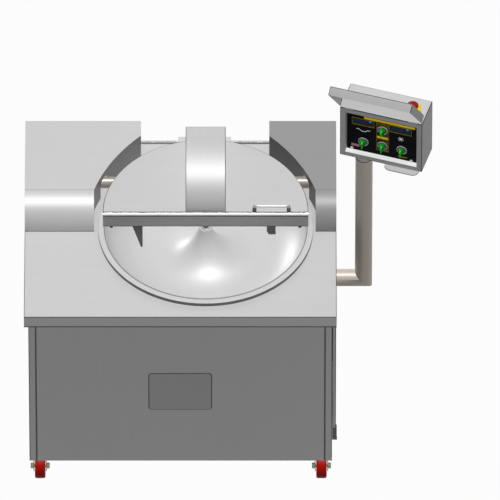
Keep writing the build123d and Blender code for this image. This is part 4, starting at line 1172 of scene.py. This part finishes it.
icon(
    "bowl_sign",
    (10, 121),
    [(-20, 4, 10, 0), (-11, 0, 13, 40), (0, -4, 13, 0), (11, 0, 13, -40), (20, 4, 10, 0)],
)
icon("knife_sign", (146, 119), [(0, 0, 21, 10), (0, 0, 21, 70), (0, 0, 21, 130)])

knob_places = ((80, 142), (10, 67), (80, 67), (150, 67))
knob_base = turned(
    "knob",
    (0, 0, 0),
    "Z",
    [(0, 0.3), (11.4, 0.3), (12, 1), (11.2, 11), (10.4, 13), (9, 14), (0, 14)],
    64,
)
grip = block("knob_grip", mm(-3.4, -19, 12), mm(3.4, 10.4, 26))
pick(grip, "VERT", lambda place: place.y < -0.015)
bpy.ops.transform.resize(value=(0.35, 1, 0.8), center_override=(0, -0.02, 0.012))
hold(grip)
pick(grip, "VERT", lambda place: place.z > 0.02)
bpy.ops.transform.resize(value=(0.72, 0.94, 1), center_override=(0, -0.004, 0.026))
hold(grip)
# Painted highlight: the grip takes the paler, glowing green.
finish_faces(grip, grip_green, lambda middle, normal: True)
knob = join("knob", [soften(knob_base, 0, angle=40), soften(grip, 0.9 * MM, 3)])
bezel = turned(
    "bezel",
    (0, 0, 0),
    "Z",
    [(12.6, 0.05), (19, 0.05), (19, 1.6), (18, 2.6), (16.2, 2.6), (15.6, 1.2), (12.6, 1.2), (12.6, 0.05)],
    64,
)
soften(bezel, 0, angle=40)
# Painted shade: the bezel's inner faces round the knob take the near-black edge colour.
finish_faces(bezel, edge_steel, lambda middle, normal: math.hypot(middle.x, middle.y) < 0.0158)
for number, (x, z) in enumerate(knob_places, start=1):
    knob_frame = frame_of(box_x, UP, -box_y, box_frame @ mm(x, fascia_y, z))
    one_knob = moved(copied(knob, f"knob_{number}"), knob_frame)
    dress_node(one_knob, knob_green, f"selector_knob_{number}")
    one_bezel = moved(copied(bezel, f"bezel_{number}"), knob_frame)
    dress(one_bezel, bezel_grey, "control_box")
bpy.data.objects.remove(knob)
bpy.data.objects.remove(bezel)

nut = turned(
    "acorn_nut",
    (0, 0, 0),
    "Z",
    [(0, 0), (5.4, 0), (5.4, 3.4), (4.6, 4), (4.4, 5.6), (3, 7.4), (0, 8)],
    32,
)
soften(nut, 0, angle=40)
for number, (x, z) in enumerate(((-31, 27), (185, 25)), start=1):
    nut_frame = frame_of(box_x, UP, -box_y, box_frame @ mm(x, fascia_y, z))
    one_nut = moved(copied(nut, f"acorn_nut_{number}"), nut_frame)
    dress(one_nut, bar_steel, "control_box")
bpy.data.objects.remove(nut)

stop_place = box_frame @ mm(box_right - 54.5, box_front + 64, box_tall)
stop_ring = turned(
    "stop_ring",
    stop_place,
    "Z",
    [(8.05, 0), (29, 0), (29.5, 0.5), (29.5, 6), (27.5, 8), (8.05, 8), (8.05, 0)],
    72,
)
dress_node(soften(stop_ring, 0, angle=40), stop_yellow, "stop_collar")
mushroom = turned(
    "mushroom",
    stop_place,
    "Z",
    [
        (0, -14), (8, -14), (8, 15), (18.6, 15), (19.8, 16.2),
        (20, 19), (18.8, 24), (14, 27.6), (8, 28.7), (0, 29),
    ],
    72,
)
dress_node(soften(mushroom, 0, angle=40), stop_red, "stop_button")

grip_plate = block("grip_plate", mm(95, box_front - 24, -3), mm(219, box_front + 40, 0))
bevel_edges(grip_plate, lambda a, b: max(a.y, b.y) < box_front * MM and abs(a.z - b.z) > 2 * MM, 22 * MM, 10)
# Painted shade: the rounded edges and the sides take the near-black edge colour.
soften(grip_plate, 1.2 * MM, slot=1)
finish_faces(grip_plate, edge_steel, lambda middle, normal: abs(normal.z) < 0.8)
dress_node(moved(grip_plate, box_frame), box_steel, "box_grip")

# ---- Cover of the control box, shown open ----

cover_open = math.radians(142.9)
cover_out = -box_y * math.cos(cover_open) + UP * math.sin(cover_open)
cover_frame = frame_of(box_x, cover_out.cross(box_x), cover_out, box_frame @ mm(0, box_front, hinge_line))
tray = block("tray", mm(box_left, -233.3, 0.5), mm(box_right, -4.3, 32.5))
# Painted shade: the rounded rim edges take the near-black edge colour; the free end and right side take
# darker copies of the sheet.
bevel_edges(tray, lambda a, b: max(a.z, b.z) > 32 * MM, 3 * MM, 2, slot=1)
finish_faces(tray, cover_end_shade_steel, lambda middle, normal: normal.y < -0.95)
finish_faces(tray, cover_side_shade_steel, lambda middle, normal: normal.x > 0.95)
open_side(tray, lambda middle, normal: normal.z < -0.99)
sheet_metal(tray, 1.5 * MM)
soften(tray, 0, angle=30)
lugs = []
for place, side in cover_hinges:
    start = place + side * 10.5
    ends = sorted((start, start + side * 12))
    lugs.append(rod("lug", mm(ends[0], 0, 0), mm(ends[1], 0, 0), 3.7 * MM, 32))
    lugs.append(block("lug_foot", mm(ends[0], -5, 0.6), mm(ends[1], 0, 3.6)))
tray = join("tray", [tray, *[soften(lug, 0, angle=35) for lug in lugs]])
dress_node(moved(tray, cover_frame), lid_steel, "box_cover")

# ---- Casters ----

for corner in ("front_left", "front_right", "rear_left", "rear_right"):
    low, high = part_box(f"caster_wheel_{corner}")
    wheel = turned(
        f"wheel_{corner}",
        (low.x, (low.y + high.y) / 2, (low.z + high.z) / 2),
        "X",
        [
            (6.1, 5), (16, 5), (18, 4), (34, 4), (36, 1.5), (38.5, 0.6), (42, 1.2), (44.2, 4), (44.95, 9),
            (44.95, 29), (44.2, 34), (42, 36.8), (38.5, 37.4), (36, 36.5), (34, 34), (18, 34), (16, 33),
            (6.1, 33), (6.1, 5),
        ],
        96,
    )
    dress_node(soften(wheel, 0, angle=50), wheel_red, f"caster_wheel_{corner}")
    softened(f"caster_fork_{corner}", zinc_steel, 0.6 * MM)
softened("caster_plates", zinc_steel, 0.6 * MM)

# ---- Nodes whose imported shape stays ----

KEPT = {
    "base_pan": frame_paint,
    "corner_posts": frame_paint,
    "support_beams": frame_paint,
    "bowl_bearing_housing": cast_paint,
    "bowl_pulley": cast_paint,
    "bowl_motor_pulley": cast_paint,
    "bowl_drive_belt": belt_rubber,
    "bowl_gearmotor": motor_paint,
    "shaft_bearings": cast_paint,
    "main_motor": motor_paint,
    "motor_pulley": cast_paint,
    "knife_drive_belt": belt_rubber,
}
for node, material in KEPT.items():
    frame["nodes"][node].data.materials[0] = material

# ---- Floor, lamps and view ----

BACKGROUND_RAYS = ("Is Camera Ray", "Is Glossy Ray", "Is Transmission Ray")

hold(None)
bpy.ops.mesh.primitive_grid_add(x_subdivisions=2, y_subdivisions=2, size=60, location=(0, 0, 0))
floor = bpy.context.object
floor.name = "floor"
floor_finish = Finish("floor_white")
floor_finish.set(Base_Color=shade(90), Roughness=0.9)
white = floor_finish.node("ShaderNodeEmission", {}, (1, 1, 1, 1), 1.0)
rays = [floor_finish.node("ShaderNodeLightPath", {}, output=kind) for kind in BACKGROUND_RAYS]
add_clamped = {"operation": "ADD", "use_clamp": True}
seen = floor_finish.node("ShaderNodeMath", add_clamped, rays[0] + rays[1], rays[2])
plain_floor = Link(floor_finish, floor_finish.shader.outputs[0])
mixed = floor_finish.node("ShaderNodeMixShader", {}, seen * 0.97, plain_floor, white)
floor_finish.tree.links.new(mixed.socket, floor_finish.tree.nodes["Material Output"].inputs["Surface"])
floor.data.materials.append(floor_finish.material)

world = bpy.data.worlds.new("world")
bpy.context.scene.world = world
world.use_nodes = True
world_nodes, world_links = world.node_tree.nodes, world.node_tree.links
background = world_nodes["Background"]
background.inputs["Color"].default_value = (1, 1, 1, 1)
light_path = world_nodes.new("ShaderNodeLightPath")
seen_sky = light_path.outputs[BACKGROUND_RAYS[0]]
for kind in BACKGROUND_RAYS[1:]:
    either = world_nodes.new("ShaderNodeMath")
    either.operation = "MAXIMUM"
    world_links.new(seen_sky, either.inputs[0])
    world_links.new(light_path.outputs[kind], either.inputs[1])
    seen_sky = either.outputs[0]
sky = 0.1
plain = world_nodes.new("ShaderNodeMath")
plain.operation = "MULTIPLY_ADD"
plain.inputs[1].default_value = 1 - sky
plain.inputs[2].default_value = sky
world_links.new(seen_sky, plain.inputs[0])
world_links.new(plain.outputs[0], background.inputs["Strength"])


def lamp(name, strength, direction, spread):
    """Sunlight that comes from a direction."""
    light = bpy.data.lights.new(name, "SUN")
    light.energy = strength
    light.angle = math.radians(spread)
    light.use_shadow = False
    holder = bpy.data.objects.new(name, light)
    holder.rotation_euler = Vector(direction).to_track_quat("Z", "Y").to_euler()
    bpy.context.scene.collection.objects.link(holder)


lamp("key", 2.75, (0.08, -0.1, 1), 22)
lamp("rim_light", 1.2, (-0.63, 0.77, 0.05), 15)
bpy.context.scene.view_settings.view_transform = "Standard"
